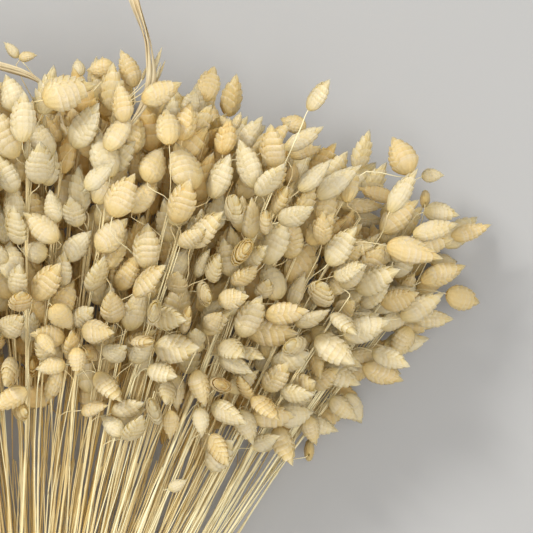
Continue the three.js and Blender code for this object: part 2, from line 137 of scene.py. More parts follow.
def culmPoint(c, y):  # where a culm runs at a distance y past the tie
    run = max(0, y - tieEdge - culm["straight"])
    below = max(0, -tieEdge - culm["straight"] - y) / culm["belowTie"]
    lean = c.slope * fan["reference"] * (run / fan["reference"]) ** fan["curve"]
    sheared = fan["shear"] * c.v * (run / fan["headAt"]) ** fan["shearCurve"]
    lift = (run / fan["headAt"]) ** fan["rise"]
    flared = 1 + culm["flareAcross"] * below
    raised = (culm["flareUp"] * c.height + culm["cutLift"]) * below
    return vec(c.across * flared + lean + sheared, y, c.tieHeight * (1 - lift) + c.headHeight * lift + raised)


def makeCulm(index, row, across, height, twin):
    columnStep = culm["acrossPitch"] / bundle["radius"]
    rowStep = culm["upPitch"] / bundle["radius"]
    stagger = ((row + bundle["rows"]) * scatter["rowShift"] + scatter["rowStart"]) % 1
    u = across / bundle["radius"]
    u += columnStep * (stagger - 0.5 + scatter["across"] * (draw(index, 1) - 0.5))
    v = height / bundle["radius"] + rowStep * scatter["up"] * (draw(index, 2) - 0.5)
    side = math.sqrt(max(fan["leastSide"], 1 - u * u))
    c = SimpleNamespace(index=index, across=across, height=height, v=v, carried=0, end=None, spikelets=[])
    c.twin, c.thickness, c.leaf = twin, 1, None
    c.slope = (fan["right"] if u > 0 else -fan["left"]) * abs(u) ** fan["spread"]
    c.tieHeight = tieCentre + height
    c.headHeight = fan["floorGap"] + fan["height"] * ((fan["rowShare"] * v + side) / 2 + fan["bottom"])
    reach = between(culm["longest"], culm["shortest"], draw(index, 3) ** scatter["shortness"])
    endY = reach / math.sqrt(1 + c.slope**2)
    startY = (culm["fork"] if c.twin else scatter["cut"] * draw(index, 4)) - culm["belowTie"]
    past = tieEdge + culm["straight"]
    turnY, rest = culm["bends"]
    c.stations = [culmPoint(c, y) for y in (startY, -past, past, turnY, between(turnY, endY, rest), endY)]
    return c


def layOutCulms():  # rows that fill the tie; two neighbours in a row make a tuft
    culms = []
    for row in range(-bundle["rows"], bundle["rows"] + 1):
        height = row * culm["upPitch"]
        halfRow = math.sqrt(bundle["radius"] ** 2 - height**2)
        pairs = math.floor(halfRow / culm["acrossPitch"] + 0.5)
        for column in range(2 * pairs):
            across = (column - pairs + 0.5) * culm["acrossPitch"]
            culms.append(makeCulm(len(culms), row, across, height, len(culms) % 2))
    return culms


def alongCulm(c, back):  # the point and direction at a distance back from a culm's end
    y = c.stations[-1][1] - back
    i = 1
    while i < len(c.stations) - 1 and c.stations[i][1] < y:
        i += 1
    a, b = c.stations[i - 1], c.stations[i]
    return a + (b - a) * ((y - a[1]) / (b[1] - a[1])), unit(b - a)


class Crowd:  # all that is placed so far, as straight lengths with a radius
    def __init__(self):
        self.rows = np.empty((0, 14))  # start, end, radius, owner, lowest and highest corner

    def add(self, owner, lengths):
        start = np.array([length[0] for length in lengths])
        end = np.array([length[1] for length in lengths])
        radius = np.array([[length[2]] for length in lengths])
        low, high = np.minimum(start, end) - radius, np.maximum(start, end) + radius
        rows = np.hstack([start, end, radius, np.full((len(lengths), 1), owner), low, high])
        self.rows = np.vstack([self.rows, rows])

    def isClear(self, root, lengths, gap):  # the first length grows from the culm root, which it may touch
        ends = np.array([[length[0], length[1]] for length in lengths])
        most = max(length[2] for length in lengths) + gap
        low, high = ends.min((0, 1)) - most, ends.max((0, 1)) + most
        near = self.rows[((self.rows[:, 8:11] <= high) & (self.rows[:, 11:14] >= low)).all(1)]
        for i, (start, end, radius) in enumerate(lengths):
            others = near[near[:, 7] != root] if i == 0 else near
            if len(others) and (lengthGaps(start, end, others) <= radius + others[:, 6] + gap).any():
                return False
        return True

    def hang(self, c, s, isEnd, lengths):  # a spikelet on its culm
        if isEnd:
            c.end = s
        c.spikelets.append(s)
        c.carried += 1
        self.add(freeOwner, lengths)


def lengthGaps(start, end, others):  # the shortest distances from one straight length to several
    d1, d2 = end - start, others[:, 3:6] - others[:, :3]
    r = start - others[:, :3]
    a, e = d1 @ d1, (d2 * d2).sum(1)
    b, c, f = d2 @ d1, r @ d1, (d2 * r).sum(1)
    denominator = a * e - b * b
    slanted = denominator > 1e-9
    s = np.where(slanted, np.clip((b * f - c * e) / np.where(slanted, denominator, 1), 0, 1), 0)
    t = np.clip((b * s + f) / e, 0, 1)
    s = np.clip((b * t - c) / a, 0, 1)
    gap = r + d1 * s[:, None] - d2 * t[:, None]
    return np.sqrt((gap * gap).sum(1))


# Where the spikelets hang
spikelet = {
    "flatness": 0.56,  # a spikelet's thickness over its width
    "stalk": 0.5, "zigzag": 0.12, "archReach": 6,
    "archShare": 0.3,  # of the spikelet's length, at most
    "archTurn": 0.2,  # a stalk that turns less than this has no arch
    "tableReach": 8, "pressed": 0.6, "rings": [(0.16, 0.84), (0.46, 1.0), (0.77, 0.6)],
    "body": [(0.2, 0.6, 0.56), (0.6, 0.96, 0.3)],  # the two lengths that stand for it, and their radii over its width
    "middle": 0.45,
}
flat = {"aside": 0.2, "foot": (0.16, 0.8), "middle": 0.58, "tip": 0.94, "radius": 0.29, "tipRadius": 0.2}
seen = {
    "back": 114, "step": 6, "nearest": 5, "furthest": 56, "lifts": [0, 4, -5, 8, -10, -16],
    "slimmest": 1.55,  # the least length over the width
    "steep": 0.9,
    "under": 2,  # what hangs at least this far below one can't hide it
}
seenCost = {"turning": 14, "crowding": 4, "side": 8}
seeded = {
    "sidesPerCulm": 0.96, "attempts": 120,
    "apart": (27, 0.4, 0.7),  # along the culm, how much nearer its end the first is, and the play
    "endOpening": (0.1, 0.6),  # the angle between stalk and culm, in radians
    "sideOpening": (0.5, 1.35), "stalk": (6, 17), "length": (14.5, 21.5),
    "width": (0.48, 0.6),  # as a share of the length
    "alongStalk": 0.9, "alongCulm": (0.3, 1.2), "hangFrom": 325, "hangOver": 90, "hang": 2.6,
    "sway": (1.1, 0.9),  # of its axis, across and upward
    "facing": (1.4, 0.9), "clearance": 0.3,
    "hiding": 0.42,  # how near it may come to one that shows whole, as a share of their lengths
}
more = {  # the spikelets that the solids leave out
    "rounds": 12, "attempts": 15,
    "back": (3, 112),  # how far back from a culm's end they hang
    "backBias": 1.25, "stalk": (4, 16), "length": (16, 24.5), "width": (0.55, 0.7),
    "clearance": -0.8, "hiding": 0.27,
    "stalkRadius": -0.4,  # below zero, because a stalk may graze a spikelet
    "lowestAcross": (-200, -157, -75, -38, 5, 19, 38, 75, 141, 157, 179, 200),
    "lowest": (293, 243, 228, 240, 240, 258, 238, 227, 227, 243, 272, 293),  # how near the tie, by place across
    "ragged": (16, 0.3),  # how uneven that edge is, and the share of it that is farther from the tie
    "highestAcross": (-205, -180, -140, -100, -60, -10, 15, 29, 49, 63, 77, 88, 99, 131, 143, 159, 174, 190, 205),
    "highest": (335, 355, 372, 385, 402, 398, 395, 404, 407, 393, 392, 399, 381, 378, 371, 357, 364, 353, 335),
    "hollow": 0.75,  # the share that is left out deep inside, where nothing shows
    "deep": (24, 24, 36),  # under the fan's top, over the table and from the heads' far end
    "deepAcross": 0.8,
    "sides": (230, 330, 128, 200),  # from and to a distance, the heads' half width there
    "onTable": 12,
}
slender = {  # thin culms in the gaps between the others
    "from": 200, "attempts": 14,
    "gaps": [(0.5, 0.5, 0.56), (0.5, 0, 0.46), (0, 0.5, 0.46)],  # how far aside and up, and the thickness
    "radius": (0.4, 0.35),  # to fit in, and once it is there
    "others": 0.6,
}
freeOwner, nobody = -1, -9  # owners of what stands in the crowd: no culm's, and nothing's
view = {"mmPerPixel": 0.47, "middle": 266.5, "x": 115.9, "y": 308.6, "focusHeight": 55, "cameraHeight": 950}

# The spikelets that show best: tip and base in the picture, width there, and millimetres over the fan
seenSpikelets = [
    (394, 136, 409, 173, 28, -14), (444, 175, 422, 176, 14, -22), (417, 169, 390, 211, 19, -2),
    (418, 200, 382, 231, 24, 6), (427, 192, 425, 203, 17, -6), (459, 215, 425, 211, 20, -8),
    (457, 224, 414, 235, 20, 6), (491, 225, 452, 237, 17, 2), (358, 188, 393, 198, 15, -14),
    (384, 206, 342, 206, 16, -24), (385, 222, 352, 217, 16, -30), (442, 258, 388, 246, 26, 8),
    (465, 266, 422, 281, 22, 10), (481, 303, 447, 294, 26, 0), (444, 293, 402, 318, 22, 12),
    (391, 359, 410, 328, 22, 4), (381, 352, 347, 358, 16, 8), (357, 419, 331, 399, 20, 6),
    (316, 445, 308, 417, 18, 14), (310, 446, 309, 455, 21, 6), (344, 385, 367, 364, 18, 6),
    (314, 413, 277, 416, 25, 12), (253, 444, 240, 411, 21, 10), (202, 437, 200, 408, 16, 9),
    (170, 439, 171, 411, 16, 9), (205, 406, 196, 371, 20, 10), (187, 480, 169, 489, 12, 7),
    (101, 417, 123, 434, 18, 10), (103, 445, 133, 452, 22, 11), (36, 369, 65, 364, 17, 10),
    (77, 376, 77, 348, 16, 11), (55, 354, 39, 335, 15, 8), (-8, 410, 26, 390, 20, 10),
    (69, 330, 53, 306, 22, 11), (214, 66, 203, 101, 24, -50), (195, 89, 188, 117, 18, -44),
    (181, 83, 143, 101, 22, -18), (93, 83, 44, 100, 32, -6), (86, 70, 113, 66, 18, -36),
    (121, 50, 135, 86, 20, -26), (24, 92, 22, 141, 25, 6), (4, 42, 18, 57, 10, -46), (37, 55, 19, 58, 10, -46),
    (76, 58, 80, 76, 13, -50), (281, 118, 305, 128, 18, -40), (323, 127, 286, 149, 17, -26),
    (320, 147, 291, 156, 14, -34), (361, 165, 318, 197, 21, -10), (331, 160, 300, 190, 18, -8),
    (295, 163, 290, 185, 13, -20), (262, 117, 239, 150, 18, -22), (241, 112, 233, 130, 9, -34),
    (219, 115, 232, 131, 9, -32), (134, 174, 112, 215, 28, 14), (127, 219, 98, 250, 26, 14),
    (24, 213, 57, 240, 23, 13), (18, 249, 47, 254, 20, 12), (50, 190, 56, 222, 18, 9),
    (114, 163, 86, 188, 18, 12),
]


def makeSpikelet(root, base, axis, facing, length, width):
    across = unit(cross(axis, facing))
    through = cross(across, axis)
    arch = base - axis * min(spikelet["archReach"], spikelet["archShare"] * length)
    path = [root, arch, base] if unit(base - root) @ axis < spikelet["archTurn"] else [root, base]
    s = SimpleNamespace(path=path, base=base, axis=axis, across=across, through=through, length=length, width=width)
    body = [(pointOf(s, low), pointOf(s, high), size * width) for low, high, size in spikelet["body"]]
    s.lengths = runs(path, spikelet["stalk"]) + body
    return s


def pointOf(s, share):  # a point on its axis
    return s.base + s.axis * share * s.length


def middleOf(s):
    return pointOf(s, spikelet["middle"])


def settle(s):  # a spikelet that comes close to the table lies on it
    lowest = s.base[2] + s.axis[2] * s.length
    for share, size in spikelet["rings"]:
        reach = size * (1 + spikelet["zigzag"]) * s.width / 2
        drop = max(abs(s.across[2]), abs(s.through[2]) * spikelet["flatness"]) * reach
        lowest = min(lowest, s.base[2] + s.axis[2] * share * s.length - drop)
    if lowest > spikelet["tableReach"]:
        return s
    base = s.base - up * (lowest + spikelet["pressed"])
    return makeSpikelet(s.path[0], base, s.axis, s.through, s.length, s.width)


def fanTop(x, y):  # the height of the fan's upper side over a point of the table
    run = max(1, y - tieEdge - culm["straight"])
    slope = x / (fan["reference"] * (run / fan["reference"]) ** fan["curve"])
    u = min(1, (abs(slope) / (fan["right"] if slope > 0 else fan["left"])) ** (1 / fan["spread"]))
    side = math.sqrt(max(fan["leastSide"], 1 - u * u))
    lift = (run / fan["headAt"]) ** fan["rise"]
    headHeight = fan["floorGap"] + fan["height"] * (fan["topShare"] * side + fan["bottom"])
    return (tieCentre + bundle["radius"] * side) * (1 - lift) + headHeight * lift


def viewPoint(px, py, height):  # a point over the table, from its place in the picture
    nearer = (view["cameraHeight"] - height) / (view["cameraHeight"] - view["focusHeight"])
    pixel = view["mmPerPixel"] * nearer
    return vec(view["x"] + (px - view["middle"]) * pixel, view["y"] + (view["middle"] - py) * pixel, height)


def placeSeen(culms, crowd, entry, lift):  # hung from whichever culm reaches it best
    tipX, tipY, baseX, baseY, wide, overFan = entry
    width = wide * view["mmPerPixel"]
    base = viewPoint(baseX, baseY, view["focusHeight"])
    for _ in range(3):  # its place and its height depend on each other
        base = viewPoint(baseX, baseY, fanTop(base[0], base[1]) + overFan + lift)
    run = viewPoint(tipX, tipY, base[2]) - base
    length = max(lengthOf(run), seen["slimmest"] * width)
    run[2] = -math.sqrt(max(0, length**2 - run @ run))
    axis = unit(run)
    facing = vec(1, 0, 0) if abs(axis[2]) > seen["steep"] else up
    choices = []
    for c in culms:
        backs = range(seen["step"] if c.end else 0, seen["back"] + 1, seen["step"])
        for back, (point, direction) in zip(backs, c.holds[1 if c.end else 0 :]):
            reach = base - point
            distance = lengthOf(reach)
            if seen["nearest"] <= distance <= seen["furthest"]:
                turned = 1 - reach @ direction / distance
                crowded = seenCost["crowding"] * c.carried + (seenCost["side"] if back else 0)
                choices.append((distance + seenCost["turning"] * turned + crowded, len(choices), c, back, point))
    for _, _, c, back, point in sorted(choices, key=lambda choice: choice[:2]):
        made = makeSpikelet(point, base, axis, facing, length, width)
        if crowd.isClear(c.index, made.lengths, seeded["clearance"]):
            return c, made, back == 0
    return None


def scattered(sizes, a, b):  # a direction that keeps its last share and varies by the first
    return vec(sizes[0] * (a - 0.5), sizes[0] * (b - 0.5), sizes[1])


def swayed(axis, sway, y, turn):  # an axis with some play; the nearer the tie, the more it hangs
    across, upward = sway
    hanging = seeded["hang"] * min(1, max(0, (seeded["hangFrom"] - y) / seeded["hangOver"]))
    return unit(axis + vec(across * (turn[0] - 0.5), -hanging * turn[1], upward * (turn[2] - 0.5)))


def trySpikelet(c, number, attempt, back, habit):  # number 0 is a culm's end spikelet
    pick = lambda key: draw(c.index, number, attempt, key)
    point, direction = alongCulm(c, back(pick(10)))
    sideways = unit(cross(up, direction))
    turn = fullTurn * pick(11)
    opening = between(*seeded["sideOpening" if number else "endOpening"], pick(12))
    out = around(sideways, cross(direction, sideways), turn)
    toBase = around(direction, out, opening)
    base = point + toBase * between(*habit["stalk"], pick(13))
    axis = toBase * seeded["alongStalk"] + direction * between(*seeded["alongCulm"], pick(14))
    axis = swayed(axis, seeded["sway"], base[1], [pick(15), pick(16), pick(17)])
    facing = scattered(seeded["facing"], pick(18), pick(19))
    length = between(*habit["length"], pick(20))
    return settle(makeSpikelet(point, base, axis, facing, length, length * between(*seeded["width"], pick(21))))


def middles(spikelets):  # their middles, and their lengths
    return np.array([[*middleOf(s), s.length] for s in spikelets])


def hidesSeen(s, targets, share):  # whether it would lie in front of one that shows whole
    middle = middleOf(s)
    distance = np.hypot(middle[0] - targets[:, 0], middle[1] - targets[:, 1])
    return ((middle[2] > targets[:, 2] - seen["under"]) & (distance < share * (s.length + targets[:, 3]))).any()


def atEnd(share):  # how far back the spikelet at a culm's end hangs
    return 0


def placeSolidSpikelets(culms, crowd):  # as the solids have them: those that show whole, then the seeded ones
    shown = []
    for entry in seenSpikelets:
        found = None
        for lift in seen["lifts"]:
            found = found or placeSeen(culms, crowd, entry, lift)
        if found:
            shown.append(found[1])
            crowd.hang(*found, found[1].lengths)
    targets = middles(shown)
    apart, nearer, play = seeded["apart"]
    for c in culms:
        wanted = 1 + math.floor(seeded["sidesPerCulm"] + draw(c.index, 5))
        number = 1 if c.end else 0
        while number < wanted and c.carried < wanted:
            back = (lambda share: apart * (number - nearer + play * share)) if number else atEnd
            for attempt in range(seeded["attempts"]):
                s = trySpikelet(c, number, attempt, back, seeded)
                isHiding = hidesSeen(s, targets, seeded["hiding"])
                if not isHiding and crowd.isClear(c.index, s.lengths, seeded["clearance"]):
                    crowd.hang(c, s, number == 0, s.lengths)
                    break
            number += 1
    return shown


def flatLengths(s):  # a spikelet's lengths, truer to its flat shape
    lengths = [(start, end, more["stalkRadius"]) for start, end, _ in s.lengths[: len(s.path) - 1]]
    foot, spread = flat["foot"]
    for side in (-flat["aside"], flat["aside"]):
        low = pointOf(s, foot) + s.across * side * spread * s.width
        lengths.append((low, pointOf(s, flat["middle"]) + s.across * side * s.width, flat["radius"] * s.width))
    lengths.append((pointOf(s, flat["middle"]), pointOf(s, flat["tip"]), flat["tipRadius"] * s.width))
    return lengths


def addSlenderCulms(culms, crowd):  # each in a gap beside another, where its way is clear
    thick = culms[:]
    fitting, placed = slender["radius"]
    for turn, (aside, above, thickness) in enumerate(slender["gaps"]):
        for c in thick:
            across, height = c.across + aside * culm["acrossPitch"], c.height + above * culm["upPitch"]
            if math.hypot(across, height) > bundle["radius"]:
                continue
            for attempt in range(slender["attempts"]):
                index = slender["from"] * (attempt + 1 + 20 * turn) + c.index
                made = makeCulm(index, height / culm["upPitch"], across, height, 0)
                if crowd.isClear(nobody, runs(made.stations[3:], fitting), 0):
                    made.thickness, made.tuft = thickness, c.tuft
                    culms.append(made)
                    crowd.add(index, runs(made.stations, placed))
                    break


cover = {  # the spikelets that close the gaps in the heads, seen from above
    "pitch": 8, "rows": 24,
    "columns": 27,  # to each side
    "from": 215, "farEnd": 9, "sides": (230, 330, 128, 196), "attempts": 16,
    "under": (2, 12, 1.6),  # the fan's top, and how much deeper with each attempt
    "known": 28, "share": 0.34, "backs": (4, 116, 5), "reach": (4, 30), "tooNear": 40,
    "outward": (0.9, 0.25), "stalkEnd": 2, "fromInside": 0.5, "sway": (1.3, 1.0), "facing": (1.2, 0.9),
}


def isWithin(point, margin=1):  # the box of the solids
    low, high = [np.array(corner) * perMetre - shift for corner in solidBounds]
    return (point > low + margin).all() and (point < high - margin).all()


def nearEnd(x):  # where the heads begin, as seen from the tie
    return np.interp(x, more["lowestAcross"], more["lowest"])


def farEnd(x):
    return np.interp(x, more["highestAcross"], more["highest"])


def halfWide(y, sides):
    return np.interp(y, sides[:2], sides[2:])


def isOpen(spot, outlines):  # whether a place among the heads isn't covered yet
    if not nearEnd(spot[0]) < spot[1] < farEnd(spot[0]) - cover["farEnd"]:
        return False
    if abs(spot[0]) > halfWide(spot[1], cover["sides"]):
        return False
    low, along, wide = outlines[:, :2], outlines[:, 2:4], outlines[:, 4]
    share = np.clip(((spot[:2] - low) * along).sum(1) / (along**2).sum(1), 0, 1)
    away = spot[:2] - low - along * share[:, None]
    return not (np.sqrt((away**2).sum(1)) < cover["share"] * wide).any()


def outlineOf(s):  # where its base is, how it points and its width, as seen from above
    return [*s.base[:2], *(s.axis[:2] * s.length), s.width]


def tryCover(spot, attempt, turn, holds, points):  # a spikelet over the spot, the culm it grows on, and its cost
    near, deeper, step = cover["under"]
    spot[2] = fanTop(spot[0], spot[1]) - between(near, deeper + step * attempt, turn[0])
    farther, higher = cover["outward"]
    outward = unit(vec(spot[0], farther * spot[1], higher * spot[2]))
    axis = swayed(outward, cover["sway"], spot[1], turn[1:4])
    length = between(*more["length"], turn[4])
    base = spot - axis * 0.5 * length
    reach = base - axis * cover["stalkEnd"] - points
    distance = np.sqrt((reach**2).sum(1))
    cost = distance + cover["tooNear"] * (distance < cover["reach"][0]) - cover["fromInside"] * reach @ outward
    c, point, _ = holds[int(np.argmin(cost))]
    facing = scattered(cover["facing"], turn[5], turn[6])
    width = length * between(*more["width"], turn[7])
    return settle(makeSpikelet(point, base, axis, facing, length, width)), c, cost.min()


def coverTop(culms, shown, crowd):
    targets = middles(shown)
    holds = [(c, *alongCulm(c, back)) for c in culms for back in range(*cover["backs"])]
    points = np.array([hold[1] for hold in holds])
    heads = [s for c in culms for s in c.spikelets]
    heads = [s for s in heads if fanTop(s.base[0], s.base[1]) - s.base[2] < cover["known"]]
    outlines = np.array([outlineOf(s) for s in heads])
    added = 0
    for row in range(cover["rows"]):
        for column in range(-cover["columns"], cover["columns"] + 1):
            pick = lambda *keys: draw(900 + row, column + 40, *keys)
            x, y = column + pick(1) - 0.5, row + pick(2)
            spot = vec(x * cover["pitch"], cover["from"] + y * cover["pitch"], 0)
            if not isOpen(spot, outlines):
                continue
            for attempt in range(cover["attempts"]):
                turn = [pick(attempt, key) for key in range(3, 12)]
                s, c, cost = tryCover(spot, attempt, turn, holds, points)
                tip = pointOf(s, 1)
                if cost > cover["reach"][1] or not isWithin(tip) or hidesSeen(s, targets, more["hiding"]):
                    continue
                if crowd.isClear(c.index, flatLengths(s), more["clearance"]):
                    crowd.hang(c, s, False, flatLengths(s))
                    outlines = np.vstack([outlines, outlineOf(s)])
                    added += 1
                    break
    return added


def isDeep(middle, highest):  # whether a spikelet would hang well inside the heads
    under, over, back = more["deep"]
    return (
        fanTop(middle[0], middle[1]) - middle[2] > under
        and middle[2] > over
        and highest - middle[1] > back
        and abs(middle[0] / halfWide(middle[1], more["sides"])) < more["deepAcross"]
    )


def placeMoreSpikelets(culms, shown, crowd):  # each round offers every culm one more
    targets, habit = middles(shown), {**seeded, **more}
    uneven, farther = more["ragged"]
    added = 0
    anywhere = lambda share: between(*more["back"], share ** more["backBias"])
    for turn in range(more["rounds"]):
        for c in culms:
            for attempt in range(more["attempts"]):
                number = 0 if c.end is None else 20 + turn
                s = trySpikelet(c, number, 200 + attempt, anywhere if number else atEnd, habit)
                middle, tip = pointOf(s, 0.5), pointOf(s, 1)
                isInside = isWithin(tip) and isWithin(middle, s.width * 0.5) or tip[2] < more["onTable"]
                ragged = uneven * (draw(c.index, number, attempt, 30) - farther)
                highest = farEnd(tip[0])
                if not isInside or middle[1] < nearEnd(middle[0]) - ragged or tip[1] > highest:
                    continue
                if hidesSeen(s, targets, more["hiding"]):
                    continue
                if isDeep(middle, highest) and draw(c.index, number, 31) < more["hollow"]:
                    break
                if crowd.isClear(c.index, flatLengths(s), more["clearance"]):
                    crowd.hang(c, s, number == 0, flatLengths(s))
                    added += 1
                    break
    return added


# Dried leaves
leaf = {
    "halfWidth": 2.8, "steps": 9,
    "blades": [  # where each leaves its culm, the points that it passes, its half turns and its spread
        ([60, 352, 92], [[62, 404, 96], [52, 440, 92], [58, 476, 84]], 3, 1.2),
        ([34, 368, 98], [[18, 395, 94], [-12, 409, 88], [-54, 420, 72]], 2, 0.7),
        ([-92, 300, 74], [[-122, 336, 76], [-152, 352, 66], [-176, 350, 50]], 2, 0.9),
    ],
    "finer": [  # how the first two run between the start and the tip, as the picture shows them
        [[63, 387, 94], [63.5, 406, 96], [54, 440, 92]],
        [[16, 390, 94], [-16, 403, 88]],
    ],
    "strips": [(0.4, 0.94), (0.3, 1), (0.44, 0.88), (0.28, 0.97), (0.36, 0.82)],  # each one's half width and reach
    "stripRows": 44,
    "winding": 5,  # how far the strips wind about each other, in radians
    "wavering": (0.3, 11),
    "heap": (0.6, 0.42, 0.3),  # how far apart they lie, across and through the blade, and how hollow each is
    "widthAt": ((0, 0.2, 0.42, 0.8, 1), (0.16, 0.45, 1, 0.75, 0.05)), "thickness": 0.25,
}


def smoothPoint(points, t):  # a curve through points, evenly knotted by the root of their distances
    last = len(points) - 1
    i = min(int(last * t), last - 1)
    weight = last * t - i
    before = points[i - 1] if i else points[0] * 2 - points[1]
    after = points[i + 2] if i + 2 <= last else points[last] * 2 - points[last - 1]
    p0, p1, p2, p3 = before, points[i], points[i + 1], after
    k0, k1, k2 = [((b - a) @ (b - a)) ** 0.25 for a, b in ((p0, p1), (p1, p2), (p2, p3))]  # the knots' distances
    t1 = ((p1 - p0) / k0 - (p2 - p0) / (k0 + k1) + (p2 - p1) / k1) * k1
    t2 = ((p2 - p1) / k1 - (p3 - p1) / (k1 + k2) + (p3 - p2) / k2) * k1
    c2, c3 = -3 * p1 + 3 * p2 - 2 * t1 - t2, 2 * p1 - 2 * p2 + t1 + t2
    return p1 + t1 * weight + c2 * weight**2 + c3 * weight**3


def placeLeaves(culms, crowd):
    for number, (start, through, halfTurns, spread) in enumerate(leaf["blades"]):
        start = vec(*start)
        nearest = lambda c: alongCulm(c, max(4, c.stations[-1][1] - start[1]))[0]
        c = min(culms, key=lambda c: (nearest(c) - start) @ (nearest(c) - start))
        c.leaf = ([nearest(c)] + [vec(*point) for point in through], halfTurns, spread)
        points = [smoothPoint(c.leaf[0], i / leaf["steps"]) for i in range(leaf["steps"] + 1)]
        crowd.add(freeOwner, runs(points[1:], leaf["halfWidth"]))
        if number < len(leaf["finer"]):
            c.leaf[0][1:-1] = [vec(*point) for point in leaf["finer"][number]]


# Narrow husks beside the first leaf
husks = {
    "places": [  # tip and base in the picture, width there, and millimetres over the table
        (162, 47, 153, 73, 4.5, 92), (165.5, 60, 156, 82, 3, 90), (147, 66, 142, 80, 3.5, 90),
        (161, 62, 156, 80, 2.5, 94),
    ],
    "tipUp": 3, "backs": (4, 60, 5),
}


def addHusks(culms, crowd):
    holds = [(c, alongCulm(c, back)[0]) for c in culms for back in range(*husks["backs"])]
    for tipX, tipY, baseX, baseY, wide, height in husks["places"]:
        base = viewPoint(baseX, baseY, height)
        run = viewPoint(tipX, tipY, height + husks["tipUp"]) - base
        c, point = min(holds, key=lambda hold: (hold[1] - base) @ (hold[1] - base))
        s = makeSpikelet(point, base, unit(run), up, lengthOf(run), wide * view["mmPerPixel"])
        crowd.hang(c, s, False, s.lengths)


culms = layOutCulms()
crowd = Crowd()
for c in culms:
    c.tuft = c.index // 2 + 1
    c.holds = [alongCulm(c, back) for back in range(0, seen["back"] + 1, seen["step"])]
    crowd.add(c.index, runs(c.stations, culm["halfWidth"]))
placeLeaves(culms, crowd)
shown = placeSolidSpikelets(culms, crowd)
solidCount = sum(len(c.spikelets) for c in culms)
print(f"layout: {len(culms)} culms with {len(shown)} placed and {solidCount - len(shown)} seeded spikelets")
crowd = Crowd()
for c in culms:
    crowd.add(c.index, runs(c.stations, slender["others"]))
    for s in c.spikelets:
        crowd.add(freeOwner, flatLengths(s))
addSlenderCulms(culms, crowd)
covering = coverTop(culms, shown, crowd)
added = placeMoreSpikelets(culms, shown, crowd)
addHusks(culms, crowd)
print(f"layout: {len(culms)} culms with the slender ones, {covering} and {added} more spikelets")


# How a spikelet is made: overlapping papery scales in two ranks. Lengths are shares of the spikelet's own.
kinds = [
    {"scales": 15, "widest": 0.32, "taper": 2.0, "puff": 1.05, "rim": 0.99, "bend": 0.03, "twist": 0.6},
    {"scales": 13, "widest": 0.37, "taper": 2.4, "puff": 1.06, "rim": 0.98, "bend": -0.02, "twist": 0.25},
    {"scales": 13, "widest": 0.34, "taper": 2.1, "puff": 1.07, "rim": 1.07, "bend": 0.04, "twist": 0.7},
    {"scales": 14, "widest": 0.35, "taper": 2.3, "puff": 1.06, "rim": 1.01, "bend": 0.0, "twist": -0.5},
    {"scales": 12, "widest": 0.41, "taper": 2.4, "puff": 1.045, "rim": 0.975, "bend": 0.02, "twist": 0.75},
]
scale = {
    "fine": (6, (0, 0.58, 0.8, 1)),  # a scale's columns, and where its rows lie along it
    "fineFirst": (6, (0, 0.1, 0.35, 0.75, 1)),  # the first two, whose feet show
    "fineTip": (5, (0, 0.7, 1)), "coarse": (4, (0, 0.7, 1)), "coarseFirst": (4, (0, 0.2, 0.7, 1)),
    "coarseTip": (4, (0, 0.7, 1)), "tipFrom": 8,
    "fewer": 3,  # scales on a coarse spikelet
    "wrap": 1.86,  # how far round the spikelet a scale reaches to each side, in radians
    "narrowing": 0.1, "length": 0.31,
    "shorter": 0.27,  # how much shorter the last are
    "lengths": (0.94, 0.12),
    "span": 0.78,  # the share of the spikelet over which the scales' feet are spread
    "behind": 0.02,
    "play": (0.014, 0.06, 0.18, 0.05),  # of a scale's foot, swelling, turn and rim
    "foot": 0.8, "firstFoot": 0.98,
    "swollen": (0, 0.58, 0.8, 1),  # where along it a scale has its foot, full width, puff and rim
    "full": 0.99,
    "closing": (1.02, 0.2),  # where the last two end, and their rim
    "corner": 0.3,  # how far a scale's corners stay behind its rim
    "flank": (0.05, 0.1),  # how far its flanks bulge forward, and how far its corners draw in
    "cupping": (0.6, 0.15), "thickness": 0.03,
    "crease": 1.9,  # sharper edges are a scale's rims, in radians
    "roundness": 2.3,  # of a spikelet's base
    "bluntness": (0.004, 0.012),
}


def halfWidthAt(kind, t):  # a spikelet's outline: round at the base, pointed at the tip
    t = min(1, max(scale["bluntness"][0], t))
    if t < kind["widest"]:
        return 0.5 * (1 - ((kind["widest"] - t) / kind["widest"]) ** scale["roundness"]) ** 0.5
    return 0.5 * max(scale["bluntness"][1], 1 - ((t - kind["widest"]) / (1 - kind["widest"])) ** kind["taper"])


def doubled(bm, outer):  # the inner wall of a scale, turned about
    faces = list(dict.fromkeys(face for vert in outer for face in vert.link_faces))
    edges = list(dict.fromkeys(edge for face in faces for edge in face.edges))
    made = bmesh.ops.duplicate(bm, geom=outer + edges + faces)["geom"]
    bmesh.ops.reverse_faces(bm, faces=[item for item in made if isinstance(item, bmesh.types.BMFace)])
    return [item for item in made if isinstance(item, bmesh.types.BMVert)]


